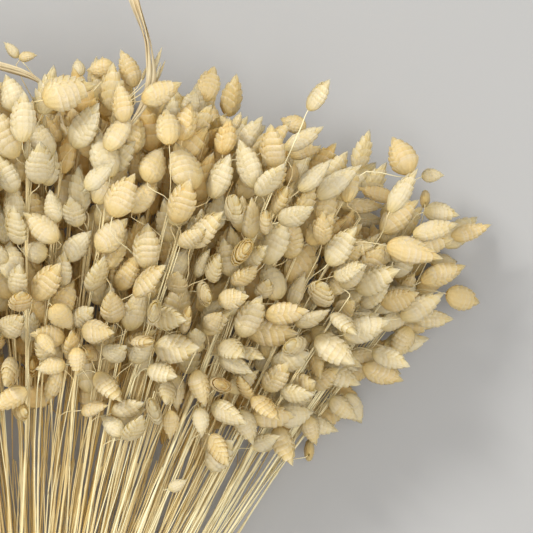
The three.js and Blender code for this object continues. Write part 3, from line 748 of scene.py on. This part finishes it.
def addScale(bm, kind, key, number, columns, rows):  # a thin closed cup; its two walls meet at the rim
    uv, ownTone = bm.loops.layers.uv["UVMap"], bm.verts.layers.float["scaleTone"]
    steps = len(rows) - 1
    outer = bmesh.ops.create_grid(bm, x_segments=columns, y_segments=steps, size=1)["verts"]
    inner = doubled(bm, outer)
    side = 1 if number % 2 else -1
    share = max(0, number - 1) / (kind["scales"] - 2)
    varied = lambda size, i: size * (draw(key, number, i) - 0.5)
    footPlay, swellPlay, turnPlay, rimPlay = scale["play"]
    least, spread = scale["lengths"]
    foot = scale["span"] * share - scale["behind"] + varied(footPlay, 1)
    length = scale["length"] * (1 - scale["shorter"] * share) * (least + spread * draw(key, number, 2))
    swell, turn, rim = 1 + varied(swellPlay, 3), varied(turnPlay, 4), kind["rim"] + varied(rimPlay, 5)
    if number > kind["scales"] - 3:  # the last two close at the tip
        length, rim = scale["closing"][0] - foot, scale["closing"][1]
    start = between(scale["firstFoot"], scale["foot"], min(1, number / 3))
    bulge, drawn = scale["flank"]
    middle, evened = scale["cupping"]
    for vert in outer + inner:
        u, v = vert.co.x, rows[round((vert.co.y + 1) / 2 * steps)]
        angle = turn + side * (kind["twist"] - u * scale["wrap"] * (1 - scale["narrowing"] * v * v))
        along = foot + length * v * (1 - scale["corner"] * u**4 + bulge * math.sin(math.pi * abs(u)))
        grown = np.interp(v, scale["swollen"], (start, scale["full"], kind["puff"], rim)) * swell * (1 - drawn * u**4)
        radius = halfWidthAt(kind, between(along, foot + middle * length, evened)) * grown
        if vert in inner:
            radius -= scale["thickness"] * (1 - u**4) * math.sin(math.pi * v)
        lean = kind["bend"] * (4 * (along - 0.5) ** 2 - 0.6)
        vert.co = (side * radius * math.cos(angle) + lean, along, radius * spikelet["flatness"] * math.sin(angle))
        vert[ownTone] = draw(key, number, 6)
        for loop in vert.link_loops:
            loop[uv].uv = ((u + 1) / 2, v)
    bmesh.ops.remove_doubles(bm, verts=[vert for vert in outer + inner if vert.is_boundary], dist=1e-5)


def newLayers(bm):
    bm.verts.layers.float.new("scaleTone")
    # the second layer holds painted shade deep in the bunch, with a random tone
    bm.verts.layers.float.new("shadeAndTone")
    return bm.loops.layers.uv.new("UVMap")


def meshFrom(bm, name):
    mesh = bpy.data.meshes.new(name)
    bm.to_mesh(mesh)
    bm.free()
    return mesh


def newObject(name, data):
    holder = bpy.data.objects.new(name, data)
    bpy.context.collection.objects.link(holder)
    return holder


def makeTemplate(kind, key, grade):
    bm = bmesh.new()
    newLayers(bm)
    kind = {**kind, "scales": kind["scales"] - scale["fewer"] * (grade == "coarse")}
    for number in range(kind["scales"]):
        part = "First" if number < 2 else "Tip" if number >= scale["tipFrom"] else ""
        addScale(bm, kind, key, number, *scale[grade + part])
    for face in bm.faces:
        face.smooth = True
    for edge in bm.edges:
        edge.smooth = edge.calc_face_angle(0) < scale["crease"]
    return meshFrom(bm, f"spikeletPattern{key}")


templates = {
    grade: [makeTemplate(kind, 10 * i + variant, grade) for i, kind in enumerate(kinds) for variant in range(2)]
    for grade in ("fine", "coarse")
}
for grade, meshes in templates.items():
    each = sum(len(mesh.polygons) for mesh in meshes) * 2 // len(meshes)
    print(f"spikelets: {len(meshes)} {grade} patterns, {each} triangles each")


# How the culms and stalks are drawn, in millimetres
straw = {
    "lowest": -60, "step": 24, "radius": 0.74,
    "headsAt": 0.62,  # where the heads begin, as a share of the culm
    "midRadius": 0.5,  # there
    "endRadius": 0.28, "stalkRadius": 0.26, "neckRadius": 0.2,
    "joints": (0.16, 0.42, 0.68),  # where along a culm its joints swell
    "jointPlay": 0.1, "jointRows": (-2.6, -0.9, 0.7, 1.8), "swollen": (-1, 0.8), "swelling": 1.32,
    "bareEnd": 215,
    "foot": (5, 0.6, 4),  # where a twin leaves the foot, how far a cut end stands out, and its first row
    "endGap": (8, 6),  # from the last row and the last joint to the culm's end
    "straight": (20, 330),  # where the sway begins, and the length that it is measured by
    "sway": (1.3, 3),  # of the thick and of the slender culms
    "waves": (9, 7, 1.7, 0.7), "kink": (0.011, 0.034),
    "parting": (14, 62),  # how far down its culm a stalk parts from it
    "leaving": ((0, 0), (0.3, 0.6), (0.65, 0.9), (1, 1)),  # shares of the way up and of the way aside
    "stalkFrom": 40, "onward": 0.6, "beside": (0.7, 1.9), "bow": 0.4, "nod": 7,
}
finish = {
    "fineDepth": 8,  # spikelets nearer than this to the outside of the bunch are made fine
    "shadeDepth": 60,  # how far in the painted shade of the heads is deepest, and that of the stems
    "stemShadeDepth": 24, "shadeBehind": 70,
    "shadeShares": (0.75, 0.45),  # of the painted shade by depth and of chance, for a spikelet
    "stemShares": (0.65, 0.5), "slim": 0.53, "slimWish": 0.25, "thickness": (0.86, 1.18),
    "floor": 0.12,  # what reaches lower is pressed on the table
    "pressing": 0.05,
}


def culmLine(c, y):  # a culm's line with its slight sway, and its turns at the joints
    begin, over = straw["straight"]
    run = max(0, y - begin) / over
    phase = nearTurn * draw(c.index, 6)
    isThin = c.thickness < 1
    sway = straw["sway"][isThin] * min(1, run * 2)
    across, upward, shifted, share = straw["waves"]
    aside = vec(math.sin(across * run + phase), 0, share * math.cos(upward * run + shifted * phase))
    point = culmPoint(c, y) + aside * sway
    for i, joint in enumerate(c.joints[:2]):
        turned = straw["kink"][isThin] * max(0, y - joint)
        point += vec(2 * draw(c.index, 46, i) - 1, 0, draw(c.index, 47, i) - 0.5) * turned
    return point


def bentLine(a, b, c, d, steps):  # points along a bent line from a to d
    made = []
    for i in range(1, steps + 1):
        t = i / steps
        made.append(a * (1 - t) ** 3 + b * 3 * t * (1 - t) ** 2 + c * 3 * t * t * (1 - t) + d * t**3)
    return made


def addStrand(curve, points, radii):
    spline = curve.splines.new("POLY")
    spline.points.add(len(points) - 1)
    placed = (np.array(points) + shift) / perMetre
    spline.points.foreach_set("co", np.hstack([placed, np.ones((len(points), 1))]).ravel())
    spline.points.foreach_set("radius", radii)


def depthShade(point, deepest):  # painted shade: from 0 at the outside to 1 deep in the bunch, where heads and stems shade one another
    under = (fanTop(point[0], point[1]) - point[2]) / deepest
    behind = (farEnd(point[0]) - point[1]) / finish["shadeBehind"]
    return min(1, max(0, min(under, behind)))


def newStrands(name, sides):  # a curve that gives each of its lines a round body, by radii in millimetres
    curve = bpy.data.curves.new(name, "CURVE")
    curve.dimensions = "3D"
    curve.bevel_depth = 0.001
    curve.bevel_resolution = sides // 2 - 2
    return curve


def meshOfStrands(curve, material, shadesAndTones):
    holder = newObject(curve.name, curve)
    mesh = bpy.data.meshes.new_from_object(holder)
    bpy.data.objects.remove(holder)
    bpy.data.curves.remove(curve)
    # painted shade deep in the bunch, with a random tone, stored for each point
    values = np.repeat(shadesAndTones, len(mesh.vertices) // len(shadesAndTones))
    mesh.attributes.new("shadeAndTone", "FLOAT", "POINT").data.foreach_set("value", values)
    mesh.attributes.new("scaleTone", "FLOAT", "POINT")
    bm = bmesh.new()
    bm.from_mesh(mesh)
    bmesh.ops.holes_fill(bm, edges=[edge for edge in bm.edges if edge.is_boundary], sides=6)
    for face in bm.faces:
        face.material_index = material
    bm.to_mesh(mesh)
    bm.free()
    return mesh


def culmStrand(c, first):
    startY, endY = c.stations[0][1], c.stations[-1][1]
    if not c.end:  # it is hidden where its last spikelet hangs
        endY = max([s.path[0][1] for s in c.spikelets], default=min(endY, straw["bareEnd"]))
    rowGap, jointGap = straw["endGap"]
    ys = list(np.arange(straw["lowest"], endY - rowGap, straw["step"])) + [endY]
    joints = [joint for joint in c.joints if joint < endY - jointGap]
    ys = sorted(y for y in ys + [joint + row for joint in joints for row in straw["jointRows"]] if y <= endY)
    leaving, beyond, firstRow = straw["foot"]
    points = [culmPoint(first, leaving - culm["belowTie"]) if c.twin else culmPoint(c, startY - beyond)]
    points += [culmLine(c, y) for y in ys if y > startY + firstRow]
    radii = [straw["radius"] * c.thickness]
    sizes = (straw["radius"], straw["midRadius"], straw["endRadius"] / c.thickness)
    low, high = straw["swollen"]
    for y in (point[1] for point in points[1:]):
        isSwollen = any(low < y - joint < high for joint in joints)
        size = np.interp(y / endY, (0, straw["headsAt"], 1), sizes)
        radii.append(size * c.thickness * (straw["swelling"] if isSwollen else 1))
    if c.end:
        last, base, axis = points[-1], c.end.base, c.end.axis
        far = lengthOf(base - last)
        onward = unit(last - points[-2])
        points += bentLine(last, last + onward * straw["bow"] * far, base - axis * straw["bow"] * far, base + axis, 5)
        radii += list(np.linspace(radii[-1], straw["neckRadius"], 6)[1:])
    return points, radii


def stalkStrand(c, s, key):  # it runs up beside its culm, then bends away to the spikelet
    y = s.path[0][1]
    low = max(straw["stalkFrom"], y - between(*straw["parting"], draw(c.index, key, 8)))
    onward = unit(culmLine(c, y + 3) - culmLine(c, y))
    reach = s.base - culmLine(c, y)
    aside = reach - onward * (reach @ onward)
    aside = aside / (lengthOf(aside) + 0.01) * between(*straw["beside"], draw(c.index, key, 9))
    points = [culmLine(c, between(low, y, t)) + aside * size for t, size in straw["leaving"]]
    root = points[-1]
    reach = s.base - root
    far = lengthOf(reach)
    out = unit(onward * straw["onward"] + reach / far)
    nod = s.axis * min(straw["nod"], straw["bow"] * far)
    points += bentLine(root, root + out * straw["bow"] * far, s.base - nod, s.base + s.axis, 4)
    return points, list(np.linspace(straw["stalkRadius"], straw["neckRadius"], len(points)))


def toModel(s, scaleX=1, scaleZ=1):  # the transform that puts a pattern in a spikelet's place
    x, y, z = s.across * s.width * scaleX, s.axis * s.length, s.through * s.width * scaleZ
    place = s.base + shift
    rows = [[x[i] / perMetre, y[i] / perMetre, z[i] / perMetre, place[i] / perMetre] for i in range(3)]
    return Matrix(rows + [[0, 0, 0, 1]])


def spikeletMesh(c, s, number):
    middle = middleOf(s)
    isOutside = fanTop(middle[0], middle[1]) - middle[2] < finish["fineDepth"] or any(s is other for other in shown)
    isSlim = s.width / s.length < finish["slim"]
    slimWish = finish["slimWish"]
    wish = draw(c.index, number, 50) - (slimWish if isSlim else -slimWish)
    kind = min(len(kinds) - 1, max(0, int((wish + slimWish) / (1 + 2 * slimWish) * len(kinds))))
    pattern = templates["fine" if isOutside else "coarse"][2 * kind + (draw(c.index, number, 51) > 0.5)]
    mesh = pattern.copy()
    flip = -1 if draw(c.index, number, 52) > 0.5 else 1
    mesh.transform(toModel(s, flip, flip * between(*finish["thickness"], draw(c.index, number, 53))))
    # painted shade deep in the bunch, with a share of random tone, stored for the scales' colour
    byDepth, byChance = finish["shadeShares"]
    shadeAndTone = byDepth * depthShade(middle, finish["shadeDepth"]) + byChance * (draw(c.index, number, 54) - 0.4)
    mesh.attributes["shadeAndTone"].data.foreach_set("value", [min(1, max(0, shadeAndTone))] * len(mesh.vertices))
    return mesh, isOutside


def runAt(points):  # how far along a line each of its points is
    return np.concatenate([[0], np.cumsum([lengthOf(b - a) for a, b in zip(points, points[1:])])])


def evenly(points, step):  # the same line with its points a step apart
    points, run = np.array(points), runAt(points)
    at = np.linspace(0, run[-1], max(3, int(run[-1] / step)))
    return np.column_stack([np.interp(at, run, points[:, i]) for i in range(3)])


def smoothLine(points, steps):
    return [smoothPoint([vec(*p) for p in points], i / steps) for i in range(steps + 1)]


def leafMesh(points, halfTurns, spread, key):  # a dry blade that has split lengthways
    bm = bmesh.new()
    uv = newLayers(bm)
    count = len(leaf["strips"])
    fine = smoothLine(points, 200)
    run = runAt(fine)
    shares = np.linspace(0, 1, len(fine))
    at = lambda t: smoothPoint(points, float(np.interp(min(1, max(0, t)), run / run[-1], shares)))
    wavering, waves = leaf["wavering"]
    apart, deep, hollow = leaf["heap"]
    for strip, (wide, reach) in enumerate(leaf["strips"]):
        for vert in bmesh.ops.create_grid(bm, x_segments=2, y_segments=leaf["stripRows"], size=1)["verts"]:
            u, t = vert.co.x, (vert.co.y + 1) / 2 * reach
            along = unit(at(t + 0.01) - at(t - 0.01))
            level = unit(cross(along, up))
            angle = halfTurns * math.pi * t + wavering * math.sin(waves * t + key)
            across = around(level, cross(along, level), angle)
            through = cross(across, along)
            half = leaf["halfWidth"] * spread * np.interp(t / reach, *leaf["widthAt"])
            turn = nearTurn * strip / count + leaf["winding"] * t + key
            aside = half * (apart * math.cos(turn) + u * wide)
            raised = half * (deep * math.sin(turn) + hollow * wide * u * u)
            vert.co = (at(t) + across * aside + through * raised + shift) / perMetre
            for loop in vert.link_loops:
                loop[uv].uv = ((strip + (u + 1) / 2) / count, t)
    bmesh.ops.solidify(bm, geom=bm.faces[:], thickness=leaf["thickness"] / perMetre)
    bm.faces.sort(key=lambda face: face.calc_center_median() @ Vector((1, 2, 5)))  # the same order in every run
    for face in bm.faces:
        face.smooth = True
        face.material_index = 2
    return meshFrom(bm, "blade")


def makeTuft(number, tuftCulms, materials):
    name = f"tuft{number:02d}"
    curves = [newStrands(name, 6), newStrands(name + "Thin", 4)]
    shadesAndTones = [[], []]
    parts, fineCount = [], 0
    byDepth, byChance = finish["stemShares"]

    # each point of a stem stores painted shade deep in the bunch, with a share of random tone
    def addShaded(isThin, points, radii, chance):
        addStrand(curves[isThin], points, radii)
        shadesAndTones[isThin] += [byChance * chance + byDepth * depthShade(point, finish["stemShadeDepth"]) for point in points]

    for c in tuftCulms:
        addShaded(c.thickness < 1, *culmStrand(c, tuftCulms[0]), draw(c.index, 60))
        for i, s in enumerate(c.spikelets):
            if s is not c.end:
                addShaded(True, *stalkStrand(c, s, i), draw(c.index, i, 61))
            mesh, isFine = spikeletMesh(c, s, 100 + i)
            parts.append(mesh)
            fineCount += isFine
        if c.leaf:
            parts.append(leafMesh(*c.leaf, c.index))
    parts += [meshOfStrands(curve, 1, values) for curve, values in zip(curves, shadesAndTones)]
    bm = bmesh.new()
    for part in parts:
        bm.from_mesh(part)
        bpy.data.meshes.remove(part)
    low = finish["floor"] / perMetre
    for vert in bm.verts:
        if vert.co.z < low:
            vert.co.z = low + (vert.co.z - low) * finish["pressing"]
    mesh = meshFrom(bm, name)
    for material in materials:
        mesh.materials.append(material)
    piece = newObject(name, mesh)
    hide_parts(f"tuft_{number:02d}")
    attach(piece, "root")
    return piece, fineCount


# The tie, in millimetres
twine = {
    "turnRadius": 12.95, "perTurn": 48, "inset": 1.4, "lowest": 1.42, "plies": 3, "plyRadius": 0.78,
    "plyPlay": (0.94, 0.12), "plyOffset": 0.66, "plyPitch": 7.5, "waver": (0.25, 0.37), "step": 0.8,
    "knotSize": (1.35, 0.9, 1.2),  # across, then along as a share of that, and in height
    "knotLift": 1.5, "knotGap": 0.35, "knotSteps": 60,
    "ends": [  # across, along and over the turns, up to the knot and from it
        [(-9.5, -24, 0.6), (-8, -16, 1.3), (-4.6, -8.6, 1.5)],
        [(4.6, -8.6, 1.8), (8, -16, 1.6), (9.5, -24, 0.6)],
    ],
    "endSteps": 24,
    "hairs": (140, 500),  # in how many steps
    "hairEnds": 4, "hairLength": (2, 4.5), "hairRadii": [0.07, 0.06, 0.03],
    "hairLean": (0.55, 1.2, 0.2),  # outward, and the play and the least of its lean along the twine
    "hairFoot": 1.1, "hairBend": 0.3, "frayed": 14, "frayedLength": (2.5, 5), "frayedRadii": [0.2, 0.15, 0.06],
    "frayedAt": (9.4, -23.4, 0.7), "frayedLean": (-0.9, 0.5, 0.2), "frayedAside": 0.8,
}


def layTwine(curve, points, key):  # twisted plies along a line, with loose hairs
    line = evenly(points, twine["step"])
    side = unit(cross(line[1] - line[0], vec(0.3, 0.2, 1)))
    frames = []
    for i in range(len(line)):
        along = unit(line[min(i + 1, len(line) - 1)] - line[max(i - 1, 0)])
        side = unit(side - along * (side @ along))
        frames.append((side, cross(along, side)))
    (waver, waves), (least, play) = twine["waver"], twine["plyPlay"]
    for ply in range(twine["plies"]):
        made = []
        for i, (right, over) in enumerate(frames):
            angle = fullTurn * (ply / twine["plies"] + i * twine["step"] / twine["plyPitch"])
            angle += waver * math.sin(i * waves + key + ply)
            made.append(line[i] + around(right, over, angle) * twine["plyOffset"])
        radii = [twine["plyRadius"] * (least + play * draw(key, ply, i // 3)) for i in range(len(made))]
        addStrand(curve, made, radii)
    (count, steps), ends, (outward, lean, back) = twine["hairs"], twine["hairEnds"], twine["hairLean"]
    for hair in range(int(count * len(line) / steps)):
        i = int(draw(key, 70, hair) * (len(line) - 2 * ends)) + ends
        right, over = frames[i]
        out = around(right, over, fullTurn * draw(key, 71, hair))
        along = unit(line[i + 1] - line[i])
        length = between(*twine["hairLength"], draw(key, 72, hair))
        start = line[i] + out * twine["hairFoot"]
        tip = start + (out * outward + along * (lean * draw(key, 73, hair) - back)) * length
        addStrand(curve, [start, (start + tip) / 2 + along * twine["hairBend"], tip], twine["hairRadii"])


def makeTie(material):
    curve = newStrands("twineTie", 6)
    turns = []
    for i in range(tie["turns"] * twine["perTurn"] + 1):
        angle = fullTurn * i / twine["perTurn"]
        y = between(-1, 1, i / (tie["turns"] * twine["perTurn"])) * (tieEdge - twine["inset"])
        z = tieCentre + twine["turnRadius"] * math.cos(angle)
        turns.append(vec(twine["turnRadius"] * math.sin(angle), y, max(z, twine["lowest"])))
    layTwine(curve, turns, 1)
    top = tieCentre + tie["turnRadius"]
    wide, along, high = twine["knotSize"]
    knot = []
    for i in range(twine["knotSteps"] + 1):
        t = between(math.pi + twine["knotGap"], 3 * math.pi - twine["knotGap"], i / twine["knotSteps"])
        x, y, z = math.sin(t) + 2 * math.sin(2 * t), math.cos(t) - 2 * math.cos(2 * t), -math.sin(3 * t)
        knot.append(vec(x * wide, y * wide * along, top + twine["knotLift"] + z * high))
    before, after = [[(x, y, top + z) for x, y, z in end] for end in twine["ends"]]
    first = smoothLine([*before, knot[0]], twine["endSteps"])
    last = smoothLine([knot[-1], *after], twine["endSteps"])
    layTwine(curve, first[:-1] + knot + last[1:], 2)
    (x, y, z), (away, raised, lowered) = twine["frayedAt"], twine["frayedLean"]
    for side in (-1, 1):  # the frayed ends
        start, aside = vec(side * x, y, top + z), vec(side * twine["frayedAside"], 0, 0)
        for hair in range(twine["frayed"]):
            spread = vec(draw(3, side + 2, hair) - 0.5, away, raised * draw(4, side + 2, hair) - lowered)
            tip = start + spread * between(*twine["frayedLength"], draw(5, side + 2, hair)) + aside
            addStrand(curve, [start, (start + tip) / 2, tip], twine["frayedRadii"])
    mesh = meshOfStrands(curve, 0, [0])
    for vert in mesh.vertices:
        vert.co.z = max(vert.co.z, finish["floor"] / perMetre)
    mesh.materials.append(material)
    piece = newObject("twineTie", mesh)
    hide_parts("tie")
    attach(piece, "root")
    return piece


def makeMaterial(name, surface):  # the function surface builds its look, with a short way to add nodes
    material = bpy.data.materials.new(name)
    material.use_nodes = True
    tree = material.node_tree
    tree.nodes.clear()

    def add(kind, inputs=None, **settings):
        node = tree.nodes.new(kind)
        for key, value in settings.items():
            setattr(node, key, value)
        for key, value in (inputs or {}).items():
            if isinstance(value, bpy.types.NodeSocket):
                tree.links.new(value, node.inputs[key])
            else:
                node.inputs[key].default_value = value
        return node

    add("ShaderNodeOutputMaterial", {"Surface": surface(add)})
    return material


def ramp(add, factor, stops):
    node = add("ShaderNodeValToRGB", {"Fac": factor})
    for i, (place, color) in enumerate(stops):
        stop = node.color_ramp.elements[i] if i < 2 else node.color_ramp.elements.new(place)
        stop.position, stop.color = place, (*color, 1)
    return node.outputs["Color"]


def sums(add, *terms):  # the sum of sockets times numbers, plus a number
    total = terms[-1]
    for term, share in terms[:-1]:
        total = add("ShaderNodeMath", {0: term, 1: share, 2: total}, operation="MULTIPLY_ADD").outputs[0]
    return total


def spotAndPlace(add):  # where a point is in the model, and where in its own pattern
    spot = add("ShaderNodeTexCoord").outputs["Object"]
    return spot, add("ShaderNodeSeparateXYZ", {0: add("ShaderNodeUVMap", uv_map="UVMap").outputs[0]}).outputs


def noise(add, spot, size, detail, **others):
    return add("ShaderNodeTexNoise", {"Vector": spot, "Scale": size, "Detail": detail, **others}).outputs["Fac"]


def ripples(add, value, rate):
    turned = add("ShaderNodeMath", {0: value, 1: rate}, operation="MULTIPLY").outputs[0]
    return add("ShaderNodeMath", {0: turned}, operation="SINE").outputs[0]


def bumps(add, height, strength, distance):
    return add("ShaderNodeBump", {"Height": height, "Strength": strength, "Distance": distance}).outputs[0]


def stored(add, name):
    return add("ShaderNodeAttribute", attribute_name=name).outputs["Fac"]


def principled(add, color, roughness, bump, **others):
    inputs = {"Base Color": color, "Roughness": roughness, "Normal": bump, **others}
    return add("ShaderNodeBsdfPrincipled", inputs).outputs[0]


def translucent(add, skin, color, bump, share):  # a surface that lets a share of the light through
    glow = add("ShaderNodeBsdfTranslucent", {"Color": color, "Normal": bump}).outputs[0]
    return add("ShaderNodeMixShader", {0: share, 1: skin, 2: glow}).outputs[0]


paper = {
    "pale": (0.92, 0.91, 0.81), "cream": (0.91, 0.82, 0.50), "amber": (0.93, 0.71, 0.26),
    "creamAt": 0.42,
    "glow": (1.0, 0.92, 0.64),  # of light that comes through
    "deepGlow": (1.0, 0.83, 0.37), "through": 0.6, "roughness": 0.32, "nerves": 8,
    "blotches": 190, "flecks": 1500, "crinkles": 520,  # how many to a metre
    "sheenTint": (1, 0.93, 0.75, 1), "bump": (0.55, 0.00036),
}


def paperSurface(add):
    spot, place = spotAndPlace(add)
    # the stored value is painted shade deep in the bunch, with a random tone; it darkens the scales toward amber
    shadeAndTone = stored(add, "shadeAndTone")
    blotches = noise(add, spot, paper["blotches"], 3)
    flecks = noise(add, spot, paper["flecks"], 2)
    crinkles = noise(add, spot, paper["crinkles"], 3, Distortion=1.2)
    nerves = ripples(add, place["X"], 6.2832 * paper["nerves"])
    # Each scale is paler at its rim: partly its pale papery margin, partly a painted highlight where its edge catches
    # the light.
    rim = add("ShaderNodeMapRange", {"Value": place["Y"], "From Min": 0.86, "From Max": 1.0}).outputs[0]
    terms = [(shadeAndTone, 0.95), (stored(add, "scaleTone"), 0.14), (blotches, 0.4), (flecks, 0.2), (nerves, 0.03)]
    depth = sums(add, *terms, (place["Y"], -0.4), (rim, -0.42), 0.06)
    color = ramp(add, depth, [(0.0, paper["pale"]), (1.0, paper["amber"]), (paper["creamAt"], paper["cream"])])
    height = sums(add, (nerves, 0.25), (flecks, 0.5), (crinkles, 1.9), (blotches, 0.5), 0.0)
    bump = bumps(add, height, *paper["bump"])
    sheen = {"Sheen Weight": 0.2, "Sheen Roughness": 0.4, "Sheen Tint": paper["sheenTint"]}
    skin = principled(add, color, paper["roughness"], bump, **sheen, **{"Specular IOR Level": 0.7})
    # the light that comes through turns golden where the painted shade is deep
    glow = ramp(add, shadeAndTone, [(0.0, paper["glow"]), (0.7, paper["deepGlow"])])
    return translucent(add, skin, glow, bump, paper["through"])


stem = {"pale": (0.94, 0.86, 0.56), "deep": (0.71, 0.47, 0.12), "roughness": 0.42, "ribs": 62.83, "streaks": 900}


def strawSurface(add):
    spot, place = spotAndPlace(add)
    drawn = add("ShaderNodeMapping", {"Vector": spot, "Scale": (1, 0.12, 1)}).outputs[0]
    streaks = noise(add, drawn, stem["streaks"], 3)
    ribs = ripples(add, place["Y"], stem["ribs"])
    stretches = noise(add, spot, 55, 2)
    # the stored value darkens stems deep in the bunch with painted shade, with a random tone
    depth = sums(add, (stored(add, "shadeAndTone"), 0.9), (streaks, 0.45), (stretches, 0.6), (ribs, 0.04), -0.62)
    color = ramp(add, depth, [(0.0, stem["pale"]), (1.0, stem["deep"])])
    bump = bumps(add, sums(add, (ribs, 0.5), (streaks, 0.8), 0.0), 0.4, 0.0001)
    return principled(add, color, stem["roughness"], bump, **{"Specular IOR Level": 0.5})


blade = {"pale": (0.92, 0.84, 0.60), "deep": (0.62, 0.43, 0.20), "roughness": 0.5, "veins": 18, "through": 0.3}


def bladeSurface(add):
    spot, place = spotAndPlace(add)
    veins = ripples(add, place["X"], 6.2832 * blade["veins"])
    depth = sums(add, (noise(add, spot, 120, 4), 1.2), (veins, 0.16), (place["Y"], 0.3), -0.35)
    color = ramp(add, depth, [(0.0, blade["pale"]), (1.0, blade["deep"])])
    bump = bumps(add, veins, 0.5, 0.00012)
    skin = principled(add, color, blade["roughness"], bump)
    return translucent(add, skin, (*blade["pale"], 1), bump, blade["through"])


jute = {"pale": (0.50, 0.33, 0.15), "deep": (0.20, 0.11, 0.045), "roughness": 0.85}


def juteSurface(add):
    spot = add("ShaderNodeTexCoord").outputs["Object"]
    uvs = add("ShaderNodeUVMap", uv_map="UVMap").outputs[0]
    drawn = add("ShaderNodeMapping", {"Vector": uvs, "Scale": (90, 9, 1), "Rotation": (0, 0, 0.3)}).outputs[0]
    fibres = noise(add, drawn, 1.6, 4, Roughness=0.7)
    depth = sums(add, (fibres, 1.3), (noise(add, spot, 300, 2), 0.5), -0.45)
    color = ramp(add, depth, [(0.0, jute["pale"]), (1.0, jute["deep"])])
    bump = bumps(add, fibres, 0.8, 0.0003)
    return principled(add, color, jute["roughness"], bump, **{"Sheen Weight": 0.2})


for c in culms:
    reach = c.stations[-1][1]
    shares = [share + straw["jointPlay"] * (draw(c.index, 7, i) - 0.5) for i, share in enumerate(straw["joints"])]
    c.joints = [between(20, reach, share) for share in shares]
looks = (("paperyScale", paperSurface), ("strawStem", strawSurface), ("dryBlade", bladeSurface))
tuftMaterials = [makeMaterial(*look) for look in looks]
fineTotal, triangles = 0, 0
for number in range(1, max(c.tuft for c in culms) + 1):
    piece, fineCount = makeTuft(number, [c for c in culms if c.tuft == number], tuftMaterials)
    fineTotal += fineCount
    triangles += sum(len(face.vertices) - 2 for face in piece.data.polygons)
print(f"tufts: {number} pieces, {fineTotal} spikelets made fine, {triangles} triangles")
makeTie(makeMaterial("juteTwine", juteSurface))
print("tie: twine laid and knotted")

# The table and the light, in metres
room = {
    "aimHeight": 0.05, "floorHalf": 3, "floorColor": (0.375, 0.378, 0.383), "floorRoughness": 0.8,
    "keyPlace": (-2.0, 1.75, 2.3), "keySize": 0.75, "keyPower": 84, "keyColor": (1.0, 0.98, 0.93),
    "fillPlace": (0.4, -0.3, 2.3), "fillSize": 1.6, "fillPower": 35, "fillColor": (1.0, 0.97, 0.92),
    "sky": (1.0, 0.98, 0.95), "skyStrength": 0.6,
}


def tableSurface(add):
    grain = noise(add, add("ShaderNodeTexCoord").outputs["Object"], 260, 3)
    return principled(add, (*room["floorColor"], 1), room["floorRoughness"], bumps(add, grain, 0.05, 0.0002))


def makeFloor():
    bm = bmesh.new()
    bmesh.ops.create_grid(bm, x_segments=1, y_segments=1, size=room["floorHalf"])
    mesh = meshFrom(bm, "tableTop")
    mesh.materials.append(makeMaterial("paleTable", tableSurface))
    floor = newObject("tableTop", mesh)


def makeLight(name, place, size, power, color, aim):
    light = bpy.data.lights.new(name, "AREA")
    light.size, light.energy, light.color = size, power, color
    holder = newObject(name, light)
    holder.location = aim + Vector(place)
    holder.rotation_euler = Vector(place).to_track_quat("Z", "Y").to_euler()


def makeCamera(aim):
    camera = bpy.data.cameras.new("camera")
    seenHeight = (view["cameraHeight"] - view["focusHeight"]) / perMetre
    camera.lens = camera.sensor_width * seenHeight / (2 * view["middle"] * view["mmPerPixel"] / perMetre)
    holder = newObject("camera", camera)
    holder.location = (aim.x, aim.y, view["cameraHeight"] / perMetre)
    bpy.context.scene.camera = holder


aim = Vector(((view["x"] + shift[0]) / perMetre, (view["y"] + shift[1]) / perMetre, room["aimHeight"]))
makeFloor()
for light in ("key", "fill"):
    makeLight(light + "Light", *[room[light + value] for value in ("Place", "Size", "Power", "Color")], aim)
makeCamera(aim)
scene = bpy.context.scene
scene.world = bpy.data.worlds.new("studio")
scene.world.use_nodes = True
sky = scene.world.node_tree.nodes["Background"]
sky.inputs["Color"].default_value = (*room["sky"], 1)
sky.inputs["Strength"].default_value = room["skyStrength"]
scene.view_settings.view_transform = "Standard"
print("stage: table, lights and camera ready")
